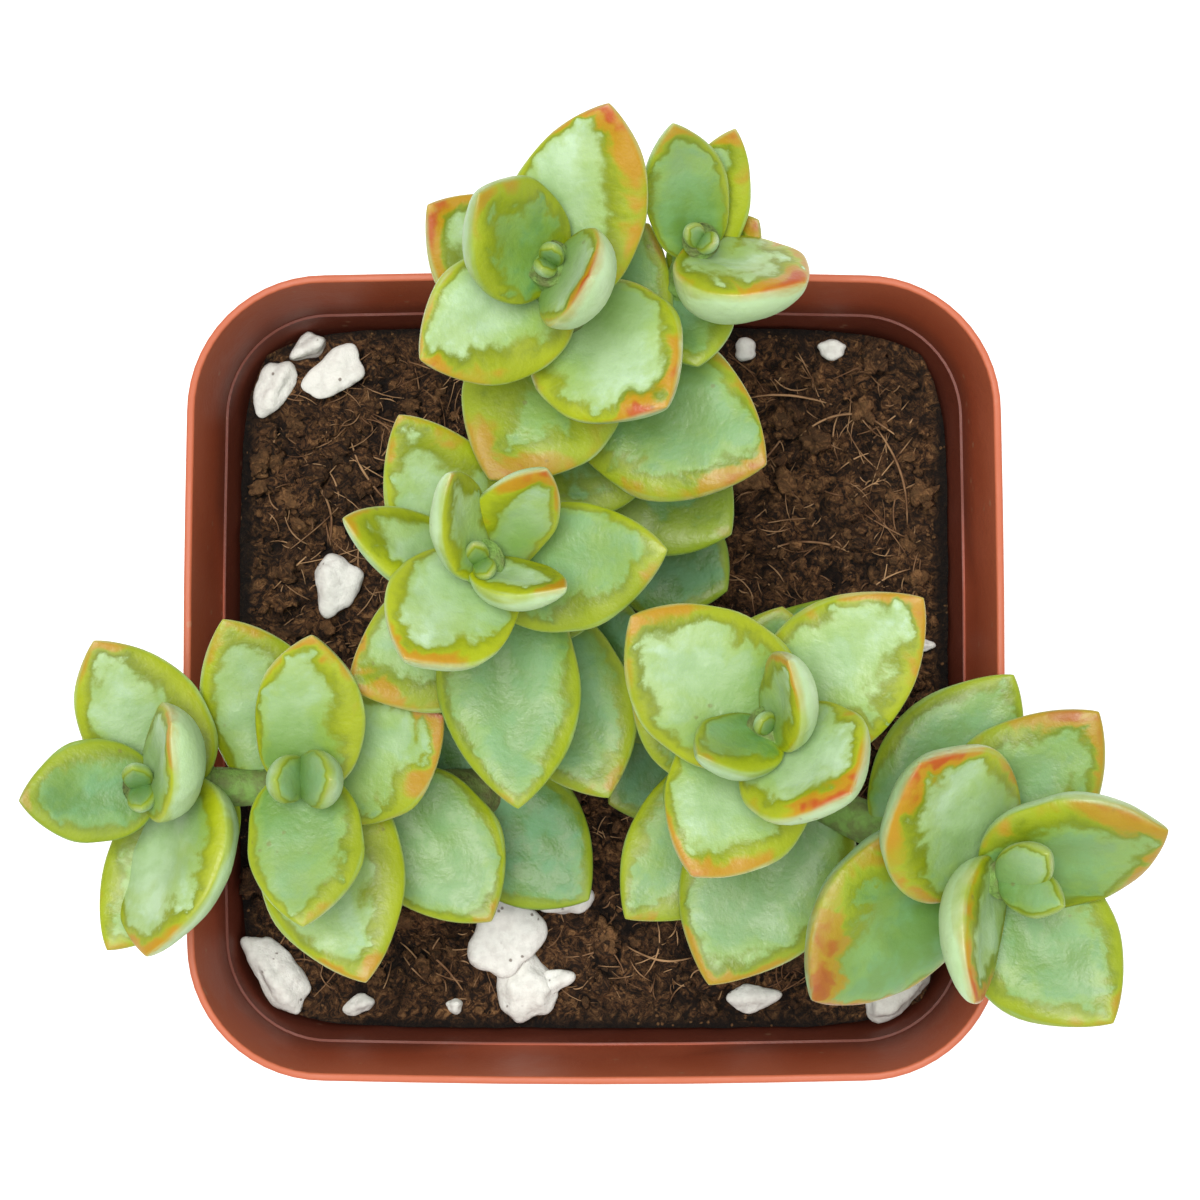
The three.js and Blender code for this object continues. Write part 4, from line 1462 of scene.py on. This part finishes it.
# Crumbs: stretch and turn of each, how small ones outnumber large ones, how far in from the
# wall they lie, how high they sit, and the coarse and fine roughness of their surface
CRUMB_STRETCH = ((0.8, 1.35), (0.7, 1.1), (0.6, 0.9))
CRUMB_TURN = ((-0.5, 0.5), (-0.5, 0.5), (0, 6.3))
CRUMB_SMALLNESS = 2.2
CRUMB_INSET = 1.2
CRUMB_SEAT = 0.24
CRUMB_ROUGHNESS = ((0.9, 2.4), (0.5, 7))
NOISE_FIELD = 90


def draw_each(draw, spans):
    return [draw.uniform(*span) for span in spans]


def crumb(ball_points, centre, size, stretch, turn, offset):
    """A rough ball, stretched and turned."""
    points = []
    for point in ball_points:
        rough = 1
        for amount, rate in CRUMB_ROUGHNESS:
            rough += amount * noise.noise(point * rate + offset)
        shaped = Vector(a * b for a, b in zip(point, stretch)) * size * rough
        shaped.rotate(turn)
        points.append(centre + shaped)
    return points


def crumb_pile(name, amount, steps, sizes, seed, material):
    """Loose crumbs of peat over the soil, joined in one mesh."""
    draw = random.Random(seed)
    ball_points, ball_faces = ball(steps)
    inset = inner_inset(SOIL_TOP) + CRUMB_INSET
    points, faces, pale = [], [], []
    for _ in range(amount):
        x, y = wall_place(draw.uniform(-1, 1), draw.uniform(-1, 1), inset)
        size = lerp(*sizes, draw.random() ** CRUMB_SMALLNESS)
        stretch = Vector(draw_each(draw, CRUMB_STRETCH))
        turn = Euler(draw_each(draw, CRUMB_TURN))
        if perlite_near(x, y) > 0.5:
            continue
        centre = Vector((x, y, soil_top_height(x, y) + CRUMB_SEAT * size))
        offset = Vector((draw.uniform(0, NOISE_FIELD), draw.uniform(0, NOISE_FIELD), 0))
        shaped = crumb(ball_points, centre, size, stretch, turn, offset)
        join_shape(points, faces, shaped, ball_faces)
        pale += [draw.random() ** 2] * len(ball_points)
    piece = mesh_piece(name, points, faces, material)
    set_attribute(piece, "pale", pale)
    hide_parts("soil")


# Long straw fibres that lie on the soil: start, a point it bends by, and end, in plan
LONG_FIBRES = [
    ((10.2, 14.2), (12.6, 15.6), (14.0, 18.0)),
    ((20.6, 18.4), (22.8, 15.4), (22.9, 11.2)),
    ((15.0, 17.6), (18.4, 20.8), (22.0, 17.8)),
    ((11.4, 20.4), (14.2, 21.0), (17.4, 20.0)),
    ((13.0, 9.4), (15.6, 10.6), (18.6, 9.2)),
    ((-17.8, 17.4), (-17.0, 14.6), (-14.8, 12.6)),
    ((-20.6, 14.8), (-18.6, 12.4), (-19.4, 9.6)),
    ((-12.6, -19.8), (-10.8, -20.8), (-9.6, -22.8)),
    ((2.4, -19.6), (4.6, -21.0), (7.2, -20.4)),
]


# The fibres: long ones as (radius, steps, lift, arch), then the ranges of the short ones
LONG_FIBRE = (0.1, 14, 0.12, 0.5)
FIBRE_COUNT = 1300
FIBRE_SEED = 41
FIBRE_SIDES = 4
FIBRE_STEPS = 6
FIBRE_INSET = 2.2
FIBRE_LENGTH = (0.7, 5.0)
FIBRE_SHORTNESS = 3
FIBRE_BEND = 0.35
FIBRE_RADIUS = (0.03, 0.07)
FIBRE_LIFT = (0.0, 0.3)
FIBRE_ARCH = 0.35
FIBRE_END = 0.08
FIBRE_END_GIRTH = 0.4


def bent_place(path, share):
    """A place in plan on a path that bends by its middle point."""
    rest = 1 - share
    weights = (rest * rest, 2 * rest * share, share * share)
    x = sum(weight * point[0] for weight, point in zip(weights, path))
    y = sum(weight * point[1] for weight, point in zip(weights, path))
    return x, y


def fibre_points(path, radius, steps, lift, arch):
    """A thin tube along a bent path that lies on the soil, thinner at both ends."""
    centres, radii = [], []
    for step in range(steps + 1):
        share = step / steps
        x, y = bent_place(path, share)
        over = lift + arch * math.sin(math.pi * share)
        centres.append(Vector((x, y, soil_top_height(x, y) + over)))
        girth = math.sin(math.pi * lerp(FIBRE_END, 1 - FIBRE_END, share))
        radii.append(radius * lerp(FIBRE_END_GIRTH, 1.0, girth))
    # Straw bridges small dips, so its heights are smoothed twice
    for _ in range(2):
        for i in range(1, steps):
            centres[i].z = (centres[i - 1].z + centres[i].z * 2 + centres[i + 1].z) / 4
    return tube(centres, radii, FIBRE_SIDES)


def short_fibre(draw, inset):
    """A bent path in plan at a drawn place, with its radius, steps, lift and arch."""
    x, y = wall_place(draw.uniform(-1, 1), draw.uniform(-1, 1), inset)
    heading = draw.uniform(0, 2 * math.pi)
    length = lerp(*FIBRE_LENGTH, draw.random() ** FIBRE_SHORTNESS)
    bend = draw.uniform(-FIBRE_BEND, FIBRE_BEND) * length
    along = Vector((math.cos(heading), math.sin(heading))) * length / 2
    side = Vector((-along.y, along.x)).normalized() * bend
    limit = RIM_WIDTH / 2 - inset
    path = []
    for reach, aside in ((-1, 0), (0, 1), (1, 0)):
        px = min(limit, max(-limit, x + reach * along.x + aside * side.x))
        py = min(limit, max(-limit, y + reach * along.y + aside * side.y))
        path.append((px, py))
    radius = draw.uniform(*FIBRE_RADIUS)
    lift = draw.uniform(*FIBRE_LIFT)
    arch = draw.uniform(0, FIBRE_ARCH) * min(1.0, length / 2)
    return path, radius, FIBRE_STEPS, lift, arch


def fibres(material):
    draw = random.Random(FIBRE_SEED)
    inset = inner_inset(SOIL_TOP) + FIBRE_INSET
    laid = [(path, *LONG_FIBRE) for path in LONG_FIBRES]
    laid += [short_fibre(draw, inset) for _ in range(FIBRE_COUNT)]
    points, faces = [], []
    for fibre in laid:
        join_shape(points, faces, *fibre_points(*fibre))
    piece = mesh_piece("soil_fibres", points, faces, material)
    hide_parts("soil")


# Perlite

# Swellings as in the solids (height, rate and start by seed, along x, y and z), then the
# chips and pores that only the scene has (rate and depth) and how far the noise is moved on
# from one lump to the next
PERLITE_SWELLS = [(0.12, 7, 3), (0.1, 9, 5), (0.08, 8, 1)]
PERLITE_CHIPS = (0.9, 0.26)
PERLITE_PORES = (3.5, 0.035)
PERLITE_STEP = (2.3, 1, 0)
BALL_STEPS = 5


def perlite_lobe(lobe, seed):
    """One lobe of a lump: the solid's ball, finer, with chips and pores."""
    x, y, over, length, breadth, height, heading = lobe
    ball_points, ball_faces = ball(BALL_STEPS)
    turn = Euler((0, 0, math.radians(heading)))
    centre = Vector((x, y, soil_height(x, y) + over))
    offset = Vector([seed * step for step in PERLITE_STEP])
    points = []
    for point in ball_points:
        uneven = 1
        for place, (high, rate, start) in zip(point, PERLITE_SWELLS):
            uneven += high * math.sin(rate * place + start * seed)
        shaped = Vector((point.x * length, point.y * breadth, point.z * height)) * uneven
        rough = 0
        for rate, depth in (PERLITE_CHIPS, PERLITE_PORES):
            rough += noise.noise(shaped * rate + offset) * depth
        shaped += point.normalized() * rough * min(1.0, height / 2)
        shaped.rotate(turn)
        points.append(centre + shaped)
    return points, ball_faces


def perlite(material):
    for node, lobes in PERLITE.items():
        points, faces = [], []
        for index, lobe in enumerate(lobes):
            join_shape(points, faces, *perlite_lobe(lobe, lobe[0] + index))
        piece = mesh_piece(f"{node}_grain", points, faces, material)
        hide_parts(node)


# Floor, light and camera

# Half the studio floor's side, its colour and glow, the lights as (name, place and size in
# metres, power, colour), where they aim, and the strength of the light all round
STUDIO_HALF = 1500.0
STUDIO_WHITE = (0.96, 0.96, 0.96, 1)
WHITE = (1, 1, 1, 1)
STUDIO_GLOW = 0.3
LIGHTS = [
    ("key_light", (-0.07, 0.06, 0.7), 0.34, 4.6, (1.0, 0.995, 0.98)),
    ("fill_light", (0.2, -0.3, 0.6), 0.5, 1.0, (0.96, 0.98, 1.0)),
]
LIGHT_AIM = Vector((0, 0, 0.05))
SURROUND = 0.52


def stage_floor():
    material, graph, shader = new_material("pale_floor")
    grain = graph.noise(graph.place(), 40.0)
    graph.feed(graph.span(grain, 0.3, 0.7, 0.55, 0.62), shader.inputs["Roughness"])
    set_plain(shader, Base_Color=STUDIO_WHITE, Emission_Color=WHITE)
    set_plain(shader, Emission_Strength=STUDIO_GLOW)
    signs = ((-1, -1), (1, -1), (1, 1), (-1, 1))
    corners = [(x * STUDIO_HALF, y * STUDIO_HALF, 0) for x, y in signs]
    mesh = new_mesh("studio_floor", corners, [(0, 1, 2, 3)])
    mesh.materials.append(material)
    floor = add_object("studio_floor", mesh)


def area_light(name, place, size, power, colour):
    data = bpy.data.lights.new(name, "AREA")
    data.shape = "DISK"
    data.size = size
    data.energy = power
    data.color = colour
    lamp = add_object(name, data)
    lamp.location = place
    aim = LIGHT_AIM - Vector(place)
    lamp.rotation_euler = aim.to_track_quat("-Z", "Y").to_euler()


def light():
    for lamp in LIGHTS:
        area_light(*lamp)
    world = bpy.data.worlds.new("soft_surround")
    world.use_nodes = True
    backdrop = world.node_tree.nodes["Background"]
    backdrop.inputs["Color"].default_value = WHITE
    backdrop.inputs["Strength"].default_value = SURROUND
    bpy.context.scene.world = world
    bpy.context.scene.view_settings.view_transform = "Standard"


def camera():
    data = bpy.data.cameras.new("camera")
    data.sensor_width = SENSOR
    data.lens = SENSOR * (CAMERA_HEIGHT - POT_HEIGHT) / FRAME_WIDTH_AT_RIM
    # The pot's centre isn't in the middle of the frame
    data.shift_x = (IMAGE_SIZE / 2 - POT_CENTRE_PX[0]) / IMAGE_SIZE
    data.shift_y = (POT_CENTRE_PX[1] - IMAGE_SIZE / 2) / IMAGE_SIZE
    data.clip_start = NEAR_CLIP
    view = add_object("camera", data)
    view.location = (0, 0, CAMERA_HEIGHT * MM)
    bpy.context.scene.camera = view


# Loose peat: name, how many, fineness of each, least and largest size, and seed
CRUMBS = ("soil_crumbs", 560, 3, (0.7, 2.2), 7)
GRIT = ("soil_grit", 2300, 2, (0.25, 0.9), 9)


def build():
    camera()
    groups = {
        "grain": grain_group(),
        "specks": specks_group(),
        "margin": margin_group(),
    }
    leafy_stems(leaf_material(groups), stem_material(groups))
    pot(pot_material(groups))
    peat = soil_material(groups)
    soil(peat)
    crumb_pile(*CRUMBS, peat)
    crumb_pile(*GRIT, peat)
    fibres(fibre_material(groups))
    perlite(perlite_material(groups))
    stage_floor()
    light()


build()
